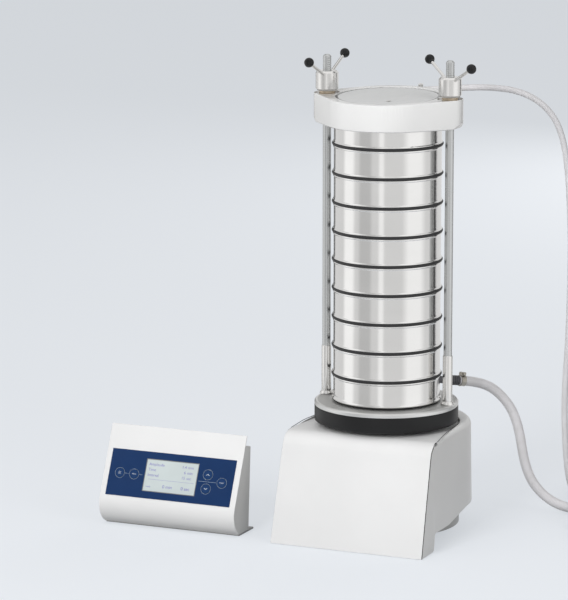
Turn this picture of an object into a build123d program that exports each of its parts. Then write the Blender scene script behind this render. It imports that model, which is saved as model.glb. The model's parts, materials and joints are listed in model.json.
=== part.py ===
from build123d import *
import math
import os

os.makedirs("parts", exist_ok=True)

# A vibratory sieve shaker for wet sieving, in millimetres.
# The origin is on the vibration axis at bench level, X runs to the right along the front, Z is up.

# Clearances
running_gap = 0.05
sliding_gap = 0.3
seam_gap = 0.8
cut_margin = 10.0

# Housing of the drive
housing_margin = 15.8
draft = 1.0
front_foot = -200.2
lean = 15.6
cover_top = 206.0
cover_thickness = 3.0
cover_foot = 1.0
knee_radius = 35.0
cover_round_margin = 2.5
cover_corner_inset = 3.3
cover_corner_depth = -112.0
column_hole_margin = 7.0
shell_rise = 5.0
shell_rise_start = -112.0
shell_rise_end = -60.0
shell_wall = 4.0
shell_ceiling_thickness = 4.0
shell_ledge = 8.0
shoulder_radius = 12.0
rear_centre = 34.0
skirt_rear_foot = -136.0
skirt_rear_top = -129.0
skirt_corner = 6.0
rim_front = 34.0
rim_rise_start = -60.0
rim_rise_end = 40.0
rim_bend = 60.0
shell_rim = 50.0

# Rear connector plate
rear_frame_depth = 17.8
rear_frame_size = (104.0, 60.0)
rear_window_size = (88.0, 44.0)
rear_plate_size = (98.0, 54.0)
rear_plate_thickness = 3.0
rear_plate_height = 98.0
inlet_size = (28.0, 24.0)
inlet_x = -24.0
inlet_depth = 26.0
socket_radius = 8.0
socket_x = 31.0
switch_size = (13.0, 20.0)
switch_x = 8.0
switch_wall = 1.5
rocker_depth = 9.0
rocker_pin_radius = 1.2
rocker_tilt = 8.0

# Cast base tray and its feet
tray_radius = 140.0
tray_wall = 8.0
tray_foot = 16.5
tray_floor = 19.0
tray_floor_thickness = 10.0
deck_thickness = 6.0
deck_front = -176.0
foot_radius = 16.0
foot_circle = 105.0

# Electromagnet and its springs
yoke_radius = 60.0
yoke_height = 68.0
coil_inner = 26.0
coil_outer = 48.0
coil_depth = 44.0
coil_fit = 0.2
air_gap = 4.0
armature_radius = 58.0
armature_thickness = 12.0
column_radius = 30.0
spring_plate_radius = 112.0
spring_plate_thickness = 8.0
plate_window_circle = 70.0
plate_window_radius = 13.0
plate_window_count = 8
column_flange_radius = 55.0
column_flange_thickness = 10.0
pillar_radius = 14.0
pillar_top = 140.0
buffer_circle = 95.0
buffer_radius = 15.0
buffer_waist = 11.0
buffer_height = 36.0
spring_count = 4

# Vibrating table
table_margin = 4.65
table_gap = 8.0
table_height = 29.6
table_web = 12.0
table_skirt = 9.0
table_edge = 1.5
plate_thickness = 8.4
plate_rim_height = 2.2
gasket_height = 4.0
gasket_width = 10.0
gasket_inset = 2.0

# Clamping rods
rod_to_seal = 10.85
rod_radius = 8.0
rod_stand = 31.0
rod_tip = 4.0
rod_bury = 14.0
sleeve_radius = 9.3
sleeve_stand = 95.0
foot_nut_radius = 12.5
foot_nut_height = 7.0

# Sieve stack
sieve_count = 9
sieve_pitch = 55.0
wall_inner = 100.0
wall_thickness = 1.5
bead_stand = 1.7
bead_height = 3.0
lip_stand = 1.9
lip_height = 5.0
skirt_gap = 0.6
skirt_thickness = 1.4
skirt_depth = 8.0
cloth_level = 9.0
cloth_thickness = 1.0
seal_stand = 4.0
seal_height = 5.5

# Receiver pan
pan_height = 48.5
pan_flare_stand = 2.3
pan_foot_height = 6.0
pan_floor_rise = 18.0
pan_cone_height = 12.0
pan_floor_thickness = 1.5
outlet_azimuth = 52.0
outlet_drop = 8.0
outlet_stand = 58.5
outlet_rise = 16.0
outlet_bore_start = 25.0
outlet_tube_radius = 7.0
outlet_rib_radius = 9.6
outlet_rib_pitch = 4.0
outlet_rib_count = 4
outlet_hose_radius = 9.5
clamp_width = 10.0
clamp_thickness = 1.6

# Clamping bridge and its lid
bridge_overlap = 21.0
bridge_front_height = 50.5
bridge_incline = 2.4
bridge_margin = 11.0
lug_radius = 25.0
lug_height = 52.5
lug_face_inset = 0.6
lug_chamfer = 3.0
lug_bevel = 11.0
bore_inset = 0.6
lid_gap = 0.9
lid_thickness = 5.0
lid_sink = 1.2
lid_ledge = 6.0
stack_recess_gap = 1.2
rod_hole_gap = 0.4
nozzle_radius = 11.0
nozzle_length = 16.0
lid_screw_radius = 3.0
lid_screw_circle = 63.0
lid_screw_azimuth = -67.0

# Water inlet at the rear of the bridge
inlet_height = 50.0
inlet_stand = 9.5
inlet_azimuth = 25.0
inlet_rise = 3.5
inlet_tube_radius = 4.5
inlet_boss_radius = 7.0
inlet_arm = 8.0
inlet_hose_radius = 6.0

# Clamping nuts
washer_radius = 15.0
washer_height = 6.0
nut_radius = 21.5
nut_height = 38.0
nut_round = 4.0
lever_radius = 3.0
lever_tilt = 24.0
lever_root = 14.0
lever_length = 70.0
lever_level = 30.0
knob_radius = 9.6
left_lever_azimuth = -90.0
right_lever_azimuth = -42.0

# Control unit, placed beside the shaker with its front in line
unit_place = (-370.0, -141.0)
unit_width = 285.0
unit_height = 188.0
unit_foot_thickness = 3.0
panel_angle = 24.0
panel_thickness = 2.5
nose_radius = 42.0
nose_end = 5.0
nose_end_angle = 59.5
housing_inset = 1.0
housing_wall = 2.5
housing_top_drop = 17.0
housing_back_drop = 24.0
housing_back_top = 19.0
housing_back_foot = (8.0, 3.0)
foot_plate_setback = 6.7
foot_plate_stand = 24.0
membrane_size = (262.0, 91.0)
membrane_margin = 2.0
membrane_thickness = 1.0
display_size = (108.0, 61.0)
key_radius = 9.0
key_gap = 0.5
key_stand = 0.5
key_length = 3.0
key_places = [(-108.0, 1.0), (-77.5, 1.0), (76.5, -12.2), (76.5, 15.2), (107.5, 1.0)]
board_width = 240.0
board_top_margin = 51.5
board_foot_margin = 4.5
board_edge = 6.0
board_thickness = 1.6
board_drop = 8.0
standoff_radius = 3.0

# Hoses, lying as they are put away
outlet_route = [
    (129.0, 165.0, 265.0),
    (161.0, 192.0, 239.0),
    (190.0, 209.0, 188.0),
    (205.0, 215.0, 82.0),
    (239.0, 226.0, 33.0),
    (283.0, 242.0, 9.5),
    (338.0, 264.0, 9.5),
    (388.0, 287.0, 9.5),
]
outlet_coil_centre = (430.7, 191.0)
outlet_coil_radius = 105.0
outlet_coil_layers = 2
inlet_route = [
    (71.0, 159.0, 833.0),
    (135.0, 187.0, 835.0),
    (187.0, 215.0, 826.0),
    (226.0, 242.0, 798.0),
    (250.0, 263.0, 754.0),
    (262.0, 277.0, 676.0),
    (268.0, 285.0, 526.0),
    (264.0, 290.0, 356.0),
    (255.0, 291.0, 206.0),
    (260.0, 297.0, 88.0),
    (262.0, 318.0, 34.0),
    (264.0, 360.0, 6.0),
    (264.0, 402.0, 6.0),
]
inlet_coil_centre = (330.0, 402.0)
inlet_coil_radius = 66.0
inlet_coil_layers = 3

# Radii that follow from the sieves' bore
wall_outer = wall_inner + wall_thickness
bead_radius = wall_outer + bead_stand
lip_radius = wall_outer + lip_stand
skirt_outer = wall_inner - skirt_gap
skirt_inner = skirt_outer - skirt_thickness
seal_radius = wall_outer + seal_stand
seal_inner = skirt_outer + 8 * running_gap
pan_flare = wall_outer + pan_flare_stand
gasket_outer = wall_inner - gasket_inset
gasket_inner = gasket_outer - gasket_width
outlet_reach = wall_outer + outlet_stand
rod_x = seal_radius + rod_to_seal + rod_radius
table_radius = rod_x + rod_radius + table_margin
half_width = table_radius + housing_margin
cover_rear_radius = table_radius + cover_round_margin
cover_corner = (half_width - cover_corner_inset, cover_corner_depth)
column_hole_radius = column_flange_radius + column_hole_margin
rear_frame_front = rear_centre + half_width - rear_frame_depth
bridge_radius = seal_radius + bridge_margin
bore_radius = wall_inner - bore_inset
lid_radius = bore_radius - lid_gap
stack_recess_radius = bead_radius + stack_recess_gap
rod_hole_radius = rod_radius + rod_hole_gap
inlet_corner = bridge_radius + inlet_stand

# Levels that follow from the sizes above
shell_top = cover_top + shell_rise
shell_ceiling = cover_top - cover_thickness - shell_ceiling_thickness
table_foot = cover_top + table_gap
table_top = table_foot + table_height
plate_top = table_top + plate_thickness
pan_foot = plate_top + gasket_height
tray_floor_top = tray_floor + tray_floor_thickness
yoke_top = tray_floor_top + yoke_height
armature_foot = yoke_top + air_gap
web_foot = table_top - table_web
column_flange_foot = web_foot - column_flange_thickness
spring_plate_foot = pillar_top + buffer_height
sleeve_top = plate_top + sleeve_stand
pan_floor_rim = pan_foot + pan_floor_rise
pan_floor_centre = pan_floor_rim + pan_cone_height
outlet_level = pan_foot + outlet_rise
first_joint = pan_foot + pan_height
stack_top = first_joint + sieve_count * sieve_pitch
bridge_foot = stack_top - bridge_overlap
bridge_front_top = bridge_foot + bridge_front_height
lug_face = bridge_foot + lug_height
inlet_level = bridge_foot + inlet_height
washer_foot = lug_face
nut_foot = washer_foot + washer_height
rod_top = nut_foot + nut_height + rod_stand

# The control unit's panel ends where the nose begins, and its parts hang from the panel's lower end
nose_turns = math.sin(math.radians(nose_end_angle)) + math.sin(math.radians(panel_angle))
panel_length = (unit_height - nose_end - nose_radius * nose_turns) / math.cos(math.radians(panel_angle))
membrane_offset = panel_length - membrane_margin - membrane_size[1]
display_offset = membrane_offset + membrane_size[1] / 2
board_height = panel_length - board_foot_margin - board_top_margin
board_offset = board_top_margin + board_height / 2


def save(node, *pieces):
    """Writes one node from all the solids of its pieces."""
    solids = [solid for piece in pieces for solid in piece.solids()]
    export_step(Compound(solids), f"parts/{node}.step")


def turned(points):
    """Turns a closed outline of (radius, height) points about the Z axis."""
    outline = Polyline([(radius, 0, height) for radius, height in points], close=True)
    return revolve(make_face(outline), Axis.Z)


def tube(outer, inner, low, high):
    """A plain upright ring."""
    return turned([(inner, low), (outer, low), (outer, high), (inner, high)])


def rod(radius, low, high):
    """An upright round bar on the Z axis."""
    return Pos(0, 0, low) * Cylinder(radius, high - low, align=(Align.CENTER, Align.CENTER, Align.MIN))


def side_profile(points, radii, half_length):
    """Extrudes a (Y, Z) outline with rounded corners along X, to both sides."""
    outline = FilletPolyline([(0, y, z) for y, z in points], radius=radii, close=True)
    return extrude(make_face(outline), half_length, dir=(1, 0, 0), both=True)


# Housing

def housing_plan(inset):
    """The plan at bench level: straight sides closed by a round rear."""
    half = half_width - inset
    front = 1.3 * front_foot
    sides = Polyline((-half, rear_centre), (-half, front), (half, front), (half, rear_centre))
    rear = ThreePointArc((half, rear_centre), (0, rear_centre + half), (-half, rear_centre))
    return make_face((sides + rear).edges())


def behind_front(inset, top, knee, rise_top):
    """Everything behind the leaning front and under the top, to well past the rear."""
    slope = math.tan(math.radians(lean))
    foot = front_foot + inset / math.cos(math.radians(lean))
    below = -cut_margin - inset
    rear = 2 * half_width + inset
    points = [
        (foot + below * slope, below),
        (foot + top * slope, top),
        (shell_rise_start, top),
        (shell_rise_end, rise_top),
        (rear, rise_top),
        (rear, below),
    ]
    radii = [0, knee, 0, 0, 0, 0]
    if rise_top == top:
        del points[2:4], radii[2:4]
    return side_profile(points, radii, 2 * half_width)


def cover_outline(gap):
    """The top sheet's plan: a round rear about the axis, joined to the front corners by tangents."""
    radius = cover_rear_radius + gap
    x, y = cover_corner[0] + gap, cover_corner[1]
    turn = math.atan2(y, x) + math.acos(radius / math.hypot(x, y))
    touch_x, touch_y = radius * math.cos(turn), radius * math.sin(turn)
    wide, front = 1.3 * half_width, 1.4 * front_foot
    right = [(wide, front), (wide, y), (x, y), (touch_x, touch_y)]
    left = [(-px, py) for px, py in reversed(right)]
    return make_face(Polyline(right + left, close=True)) + Circle(radius)


def housing_form(inset, top):
    """The drafted body of the housing with its rounded shoulder."""
    body = extrude(housing_plan(inset), top, taper=draft)
    rim = body.faces().sort_by(Axis.Z)[-1].edges().sort_by(Axis.Y)[1:]
    return fillet(rim, shoulder_radius - inset)


def make_front_cover():
    outer = behind_front(0, cover_top, knee_radius, cover_top)
    inner = behind_front(
        cover_thickness, cover_top - cover_thickness, knee_radius - cover_thickness, cover_top - cover_thickness
    )
    sheet = (outer - inner) & housing_form(0, shell_top)
    plan = extrude(cover_outline(0), 2 * shell_top)
    above_bench = Pos(0, 0, cover_foot) * Box(
        4 * half_width, 4 * half_width, 2 * shell_top, align=(Align.CENTER, Align.CENTER, Align.MIN)
    )
    sheet = sheet & plan & above_bench
    return sheet - rod(column_hole_radius, cover_top - 2 * cover_thickness, 2 * cover_top)


def make_side_shell():
    body = housing_form(0, shell_top) & behind_front(
        cover_thickness + seam_gap, cover_top, knee_radius - cover_thickness - seam_gap, shell_top
    )
    body &= behind_front(cover_thickness + seam_gap, shell_top, knee_radius, shell_top)
    under_cover = behind_front(
        cover_thickness + seam_gap,
        cover_top - cover_thickness,
        knee_radius - cover_thickness - seam_gap,
        cover_top - cover_thickness,
    )
    body -= extrude(cover_outline(seam_gap), 2 * shell_top) - under_cover
    cavity = extrude(housing_plan(shell_wall), shell_ceiling, taper=draft)
    body -= cavity
    body -= Pos(0, 0, shell_ceiling) * extrude(cover_outline(-shell_ledge), shell_top)
    rear_frame = Pos(0, rear_frame_front, rear_plate_height) * Box(
        rear_frame_size[0], 2 * shell_wall + cut_margin, rear_frame_size[1],
        align=(Align.CENTER, Align.MIN, Align.CENTER),
    )
    body += rear_frame & housing_form(0, shell_top)
    body -= Pos(0, rear_frame_front, rear_plate_height) * Box(
        rear_window_size[0], 8 * cut_margin, rear_window_size[1]
    )
    far = 2 * half_width
    foot_cut = side_profile(
        [(-far, -cut_margin), (-far, cover_foot), (skirt_rear_foot, cover_foot), (skirt_rear_top, rim_front),
         (rim_rise_start, rim_front), (rim_rise_end, shell_rim), (far, shell_rim), (far, -cut_margin)],
        [0, 0, skirt_corner, skirt_corner, rim_bend, rim_bend, 0, 0],
        far,
    )
    return body - foot_cut


def make_base_tray():
    drum = turned([
        (0, tray_floor),
        (tray_radius - tray_wall, tray_floor),
        (tray_radius - tray_wall, tray_foot),
        (tray_radius, tray_foot),
        (tray_radius, shell_rim + deck_thickness),
        (tray_radius - tray_wall, shell_rim + deck_thickness),
        (tray_radius - tray_wall, tray_floor_top),
        (0, tray_floor_top),
    ])
    level = shell_rim + deck_thickness
    deck = extrude(housing_plan(shell_wall + sliding_gap), level, taper=draft)
    deck &= Pos(0, deck_front, shell_rim) * Box(
        4 * half_width, 4 * half_width, deck_thickness, align=(Align.CENTER, Align.MIN, Align.MIN)
    )
    deck -= rod(tray_radius - tray_wall, 0, 2 * level)
    pillars = [Pos(x, y, 0) * rod(pillar_radius, tray_floor_top, pillar_top) for x, y in spring_places()]
    tray = drum + deck
    for pillar in pillars:
        tray += pillar
    return tray


def spring_places():
    """The springs stand on the diagonals, round the drive's axis."""
    turns = [math.radians(45 + 360 / spring_count * k) for k in range(spring_count)]
    return [(buffer_circle * math.cos(turn), buffer_circle * math.sin(turn)) for turn in turns]


def make_feet():
    profile = [
        (0, 0), (foot_radius - 2, 0), (foot_radius, 2), (foot_radius - 2, tray_floor), (0, tray_floor),
    ]
    turns = [math.radians(45 + 90 * k) for k in range(4)]
    return [
        Pos(foot_circle * math.cos(turn), foot_circle * math.sin(turn), 0) * turned(profile)
        for turn in turns
    ]


def make_magnet():
    yoke = rod(yoke_radius, tray_floor_top, yoke_top)
    yoke -= tube(coil_outer + coil_fit, coil_inner - coil_fit, yoke_top - coil_depth - coil_fit, yoke_top + 1)
    coil = tube(coil_outer, coil_inner, yoke_top - coil_depth - coil_fit, yoke_top - coil_fit)
    return yoke, fillet(coil.edges(), 1.5)


def make_buffers():
    top = pillar_top + buffer_height
    plate = 3.0
    middle = (pillar_top + top) / 2
    sides = Polyline(
        (buffer_radius, 0, top - plate), (buffer_radius, 0, top), (0, 0, top), (0, 0, pillar_top),
        (buffer_radius, 0, pillar_top), (buffer_radius, 0, pillar_top + plate),
    )
    waist = ThreePointArc(
        (buffer_radius, 0, pillar_top + plate), (buffer_waist, 0, middle), (buffer_radius, 0, top - plate)
    )
    buffer = revolve(make_face((sides + waist).edges()), Axis.Z)
    return [Pos(x, y, 0) * buffer for x, y in spring_places()]


def make_rear_panel():
    """The plate with its sockets, and the switch's rocker on two small pivots."""
    centre = Pos(0, rear_frame_front - rear_plate_thickness, rear_plate_height)
    along = (Align.CENTER, Align.MIN, Align.CENTER)
    plate = centre * Box(rear_plate_size[0], rear_plate_thickness, rear_plate_size[1], align=along)
    collar = (switch_size[0] + 2 * switch_wall, switch_size[1] + 2 * switch_wall)
    case_depth = rocker_depth + 2 * switch_wall
    case = centre * Pos(switch_x, -case_depth, 0) * Box(
        collar[0], case_depth + rear_plate_thickness + switch_wall, collar[1], align=along
    )
    hollow = centre * Pos(switch_x, -case_depth + switch_wall, 0) * Box(
        switch_size[0], case_depth + 4 * switch_wall, switch_size[1], align=along
    )
    pivot_y = rear_frame_front - rear_plate_thickness
    pivot = Pos(switch_x, pivot_y, rear_plate_height) * Rot(0, 90, 0)
    plate = plate + case - hollow
    plate -= pivot * Cylinder(rocker_pin_radius + running_gap, collar[0] - switch_wall)
    back = inlet_depth
    inlet_hole = centre * Pos(inlet_x, 0, 0) * Box(*[inlet_size[0], 3 * cut_margin, inlet_size[1]])
    socket_hole = Pos(socket_x, pivot_y, rear_plate_height) * Rot(90, 0, 0) * Cylinder(socket_radius, 3 * cut_margin)
    plate -= inlet_hole
    plate -= socket_hole
    fit = running_gap
    body = centre * Pos(inlet_x, -back, 0) * Box(
        inlet_size[0] - 2 * fit, back + rear_plate_thickness, inlet_size[1] - 2 * fit, align=along
    )
    bezel = centre * Pos(inlet_x, rear_plate_thickness, 0) * Box(
        inlet_size[0] + 6, 2, inlet_size[1] + 6, align=along
    )
    mouth = centre * Pos(inlet_x, rear_plate_thickness + 2 - 16, 0) * Box(
        inlet_size[0] - 6, cut_margin + 16, inlet_size[1] - 8, align=along
    )
    inlet = body + fillet(bezel.edges().filter_by(Axis.Y), 2.5) - mouth
    for x, z in ((-6, -2), (0, 3), (6, -2)):
        inlet += centre * Pos(inlet_x + x, -11, z) * Box(2, 11, 4, align=along)
    out = Pos(socket_x, rear_frame_front, rear_plate_height) * Rot(-90, 0, 0)
    middle = (Align.CENTER, Align.CENTER, Align.MIN)
    socket = out * Pos(0, 0, -16) * Cylinder(socket_radius - fit, 16, align=middle)
    socket += out * Cylinder(socket_radius + 2, 2, align=middle)
    socket -= out * Pos(0, 0, -9) * Cylinder(socket_radius - 2, 12, align=middle)
    for k in range(6):
        turn = math.radians(60 * k)
        socket += out * Pos(3.6 * math.cos(turn), 3.6 * math.sin(turn), -9) * Cylinder(0.6, 7, align=middle)
    return plate, inlet, socket, make_rocker(pivot_y)


def make_rocker(pivot_y):
    half = switch_size[1] / 2 - 1.2
    back, face, dip = -5.0, 4.0, 2.8
    outline = Polyline(
        [(0, back, -2.5), (0, face, -half), (0, dip, 0), (0, face, half), (0, back, 2.5)], close=True
    )
    body = extrude(make_face(outline), switch_size[0] / 2 - sliding_gap, dir=(1, 0, 0), both=True)
    pins = Rot(0, 90, 0) * Cylinder(rocker_pin_radius, switch_size[0] + switch_wall)
    return Pos(switch_x, pivot_y, rear_plate_height) * Rot(rocker_tilt, 0, 0) * (body + pins)


# Vibrating table

def at_rods(piece):
    """The same piece at both clamping rods."""
    return [Pos(side * rod_x, 0, 0) * piece for side in (-1, 1)]


def make_column():
    column = rod(armature_radius, armature_foot, armature_foot + armature_thickness)
    column += rod(column_radius, armature_foot, web_foot)
    column += rod(spring_plate_radius, spring_plate_foot, spring_plate_foot + spring_plate_thickness)
    column += rod(column_flange_radius, column_flange_foot, web_foot)
    for k in range(plate_window_count):
        turn = 2 * math.pi * (k + 0.5) / plate_window_count
        window = Pos(plate_window_circle * math.cos(turn), plate_window_circle * math.sin(turn), spring_plate_foot)
        column -= window * Cylinder(plate_window_radius, 3 * spring_plate_thickness)
    return column


def make_table_disc():
    disc = turned([
        (0, web_foot),
        (table_radius - table_skirt, web_foot),
        (table_radius - table_skirt, table_foot),
        (table_radius, table_foot),
        (table_radius, table_top),
        (0, table_top),
    ])
    rims = disc.edges().filter_by(GeomType.CIRCLE).filter_by(lambda e: abs(e.radius - table_radius) < 1e-3)
    disc = fillet(rims, table_edge)
    for hole in at_rods(rod(rod_radius + running_gap, table_top - rod_bury, 2 * table_top)):
        disc -= hole
    return disc


def make_table_plate():
    """A steel plate with a turned recess inside its bright rim."""
    plate = turned([
        (0, table_top),
        (table_radius - 0.6, table_top),
        (table_radius, table_top + 0.6),
        (table_radius, plate_top - plate_rim_height),
        (table_radius - plate_rim_height, plate_top),
        (0, plate_top),
    ])
    for hole in at_rods(rod(rod_radius + running_gap, 0, 2 * table_top)):
        plate -= hole
    return plate


def make_rods():
    bar = rod(rod_radius, table_top - rod_bury, rod_top)
    tip = bar.faces().sort_by(Axis.Z)[-1].edges()
    return at_rods(chamfer(tip, rod_tip, rod_tip * 0.75))


def make_sleeves():
    """A stepped sleeve on each rod, standing on a flanged nut."""
    inner = rod_radius + running_gap
    nut_top = plate_top + foot_nut_height
    nut = turned([
        (inner, plate_top),
        (foot_nut_radius, plate_top),
        (foot_nut_radius, plate_top + 2.5),
        (foot_nut_radius - 2, nut_top - 1),
        (foot_nut_radius - 2.6, nut_top),
        (inner, nut_top),
    ])
    sleeve = turned([
        (inner, nut_top),
        (sleeve_radius, nut_top),
        (sleeve_radius, sleeve_top - 1),
        (sleeve_radius - 0.8, sleeve_top),
        (inner, sleeve_top),
    ])
    return at_rods(nut) + at_rods(sleeve)


# Sieves and pan

def make_sieve(joint):
    """One test sieve: beaded rim, thin wall, cloth, flared lip and a skirt that nests below."""
    top = joint + sieve_pitch - seal_height / 2
    low = joint + seal_height / 2
    cloth = joint + cloth_level
    points = [
        (0, cloth),
        (skirt_inner, cloth),
        (skirt_inner, joint - skirt_depth),
        (skirt_outer, joint - skirt_depth),
        (skirt_outer, low),
        (lip_radius, low),
        (lip_radius, low + 1.2),
        (wall_outer, low + lip_height),
        (wall_outer, top - bead_height),
        (bead_radius, top - bead_height + 0.9),
        (bead_radius, top - 0.9),
        (bead_radius - 0.9, top),
        (wall_inner, top),
        (wall_inner, cloth + cloth_thickness),
        (0, cloth + cloth_thickness),
    ]
    return turned(points)


def make_seal(joint):
    """A seal ring with a rounded outer edge, on the skirt between two rims."""
    half = seal_height / 2
    side = Polyline(
        (seal_radius - half, 0, joint + half), (seal_inner, 0, joint + half),
        (seal_inner, 0, joint - half), (seal_radius - half, 0, joint - half),
    )
    edge = ThreePointArc(
        (seal_radius - half, 0, joint - half), (seal_radius, 0, joint), (seal_radius - half, 0, joint + half)
    )
    return revolve(make_face((side + edge).edges()), Axis.Z)


def along_outlet(distance):
    """A place on the outlet's axis, at this distance from the vibration axis, with Z pointing out."""
    turn, drop = math.radians(outlet_azimuth), math.radians(outlet_drop)
    flat = Vector(math.cos(turn), math.sin(turn), 0)
    out = flat * math.cos(drop) - Vector(0, 0, math.sin(drop))
    tip = flat * outlet_reach + Vector(0, 0, outlet_level)
    return Plane(tip + out * (distance - outlet_reach), z_dir=out).location


def make_pan():
    top = first_joint - seal_height / 2
    pan = turned([
        (0, pan_floor_centre - pan_floor_thickness),
        (wall_inner, pan_floor_rim - pan_floor_thickness),
        (wall_inner, pan_foot + pan_floor_thickness),
        (gasket_inner, pan_foot + pan_floor_thickness),
        (gasket_inner, pan_foot),
        (pan_flare, pan_foot),
        (pan_flare, pan_foot + 2),
        (wall_outer, pan_foot + pan_foot_height),
        (wall_outer, top - bead_height),
        (bead_radius, top - bead_height + 0.9),
        (bead_radius, top - 0.9),
        (bead_radius - 0.9, top),
        (wall_inner, top),
        (wall_inner, pan_floor_rim),
        (0, pan_floor_centre),
    ])
    middle = (Align.CENTER, Align.CENTER, Align.MIN)
    bore = along_outlet(wall_inner - outlet_bore_start) * Cylinder(
        outlet_tube_radius - 2, outlet_bore_start + outlet_stand, align=middle
    )
    seat = along_outlet(wall_inner) * Cylinder(outlet_tube_radius + running_gap, outlet_stand, align=middle)
    return pan - bore - seat


def worm_clamp(bore, width, lift):
    """A hose clamp: a band with its worm housing and screw on top, about the Z axis."""
    band = Cylinder(bore + clamp_thickness, width) - Cylinder(bore, 2 * width)
    housing = Pos(0, bore + clamp_thickness + lift / 2 - 0.8, 0) * Box(9, lift, width + 1)
    screw = Pos(0, bore + clamp_thickness + lift / 2 - 0.4, 0) * Rot(0, 90, 0) * Cylinder(2.6, 15)
    return band + (fillet(housing.edges().filter_by(Axis.Z), 1.2) + screw)


def make_outlet():
    start = wall_inner + running_gap
    middle = (Align.CENTER, Align.CENTER, Align.MIN)
    reach = outlet_reach - start
    spout = along_outlet(start) * Cylinder(outlet_tube_radius, reach, align=middle)
    for k in range(outlet_rib_count):
        ring = outlet_reach - 2 - k * outlet_rib_pitch
        rib = turned([
            (outlet_tube_radius - 2, -2), (outlet_rib_radius, -1.2), (outlet_rib_radius, 0.2),
            (outlet_tube_radius - 2, 1.4),
        ])
        spout += along_outlet(ring) * rib
    spout -= along_outlet(start - 1) * Cylinder(outlet_tube_radius - 2, reach + 2, align=middle)
    clamp = along_outlet(outlet_reach + clamp_width / 2 + 2) * worm_clamp(
        outlet_hose_radius + running_gap, clamp_width, 6.0
    )
    return spout, clamp


# Bridge, lid and water inlet

def tilted(level):
    """The inclined top plane of the bridge, at this height above it, with Z along its normal."""
    middle = bridge_front_top + bridge_radius * math.tan(math.radians(bridge_incline))
    return Pos(0, 0, middle) * Rot(bridge_incline, 0, 0) * Pos(0, 0, level)


def bridge_outline():
    """The ring and its two lugs inside one taut outline."""
    ends = [Pos(side * rod_x, 0) * Circle(lug_radius) for side in (-1, 1)]
    turn = math.acos((bridge_radius - lug_radius) / rod_x)
    ring = [(bridge_radius * math.cos(turn), s * bridge_radius * math.sin(turn)) for s in (1, -1)]
    lug = [(rod_x + lug_radius * math.cos(turn), s * lug_radius * math.sin(turn)) for s in (1, -1)]
    right = make_face(Polyline([ring[0], lug[0], lug[1], ring[1]], close=True))
    return Circle(bridge_radius) + ends[0] + ends[1] + right + mirror(right, Plane.YZ)


def make_bridge():
    outline = bridge_outline()
    block = 2 * bridge_front_height
    above = bridge_foot + 2 * block
    body = Pos(0, 0, bridge_foot) * extrude(outline, block)
    big = 6 * bridge_radius
    body -= tilted(0) * Box(big, big, big, align=(Align.CENTER, Align.CENTER, Align.MIN))
    foot_edges = body.faces().sort_by(Axis.Z)[0].edges()
    body = chamfer(foot_edges, lug_chamfer / 2)
    top_edges = body.faces().sort_by(Axis.Z)[-1].edges()
    body = fillet(top_edges, 1.2)
    wedge = lug_bevel * math.sqrt(2)
    for side in (-1, 1):
        body -= Pos(side * (rod_x + lug_radius), 0, bridge_foot) * Rot(0, 45, 0) * Box(wedge, big, wedge)
    thick = lid_thickness + lid_sink
    middle = (Align.CENTER, Align.CENTER, Align.MIN)
    body -= tilted(-thick) * Cylinder(bore_radius, big, align=middle)
    body -= rod(bore_radius - lid_ledge, bridge_foot - 1, above)
    body -= rod(stack_recess_radius, bridge_foot - 1, stack_top - seal_height / 2)
    for spot in at_rods(rod(lug_radius - lug_face_inset, lug_face, above)):
        body -= spot
    for hole in at_rods(rod(rod_hole_radius, bridge_foot - 1, above)):
        body -= hole
    seat = Pos(0, bridge_radius - 4, inlet_level) * Rot(-90, 0, 0)
    body -= seat * Cylinder(inlet_boss_radius + running_gap, cut_margin, align=middle)
    body -= Pos(0, 0, inlet_level - 2) * Rot(-90, 0, 0) * Cylinder(3, bridge_radius, align=middle)
    return body


def make_lid():
    """A clear disc on its ledge, with the spray nozzle under its middle."""
    middle = (Align.CENTER, Align.CENTER, Align.MIN)
    lid = tilted(-lid_sink - lid_thickness) * Cylinder(lid_radius, lid_thickness, align=middle)
    top = lid.edges().filter_by(GeomType.CIRCLE).sort_by(Axis.Z)[-1]
    lid = chamfer(top, 0.6)
    turn = math.radians(lid_screw_azimuth)
    x, y = lid_screw_circle * math.cos(turn), lid_screw_circle * math.sin(turn)
    lid -= tilted(-lid_sink) * Pos(x, y, 0) * Cylinder(lid_screw_radius, 4 * lid_thickness)
    under = tilted(-lid_sink - lid_thickness)
    nozzle = under * Pos(0, 0, -nozzle_length) * Cylinder(nozzle_radius, nozzle_length, align=middle)
    nozzle = chamfer(nozzle.faces().sort_by(Axis.Z)[0].edges(), 3)
    pipe_reach = bore_radius - lid_ledge - 1
    pipe = under * Pos(0, 0, -nozzle_length / 2) * Rot(-90, 0, 0) * Cylinder(4, pipe_reach, align=middle)
    arm = under * Pos(0, 0, -nozzle_length / 2) * Rot(0, 0, lid_screw_azimuth + 90) * Rot(90, 0, 0)
    arm = arm * Cylinder(4, lid_screw_circle, align=middle)
    post = under * Pos(x, y, -nozzle_length / 2) * Cylinder(5, nozzle_length / 2, align=middle)
    screw = under * Pos(x, y, -1) * Cylinder(lid_screw_radius - running_gap, lid_thickness + 1, align=middle)
    head = tilted(-lid_sink) * Pos(x, y, 0) * Cylinder(lid_screw_radius + 1, 2.2, align=middle)
    return lid, nozzle + pipe + arm + post + screw + head


def along_inlet(distance):
    """A place on the inlet's arm, at this distance from its elbow, with Z pointing out."""
    turn, rise = math.radians(inlet_azimuth), math.radians(inlet_rise)
    out = Vector(math.cos(turn) * math.cos(rise), math.sin(turn) * math.cos(rise), math.sin(rise))
    return Plane(Vector(0, inlet_corner, inlet_level) + out * distance, z_dir=out).location


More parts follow.
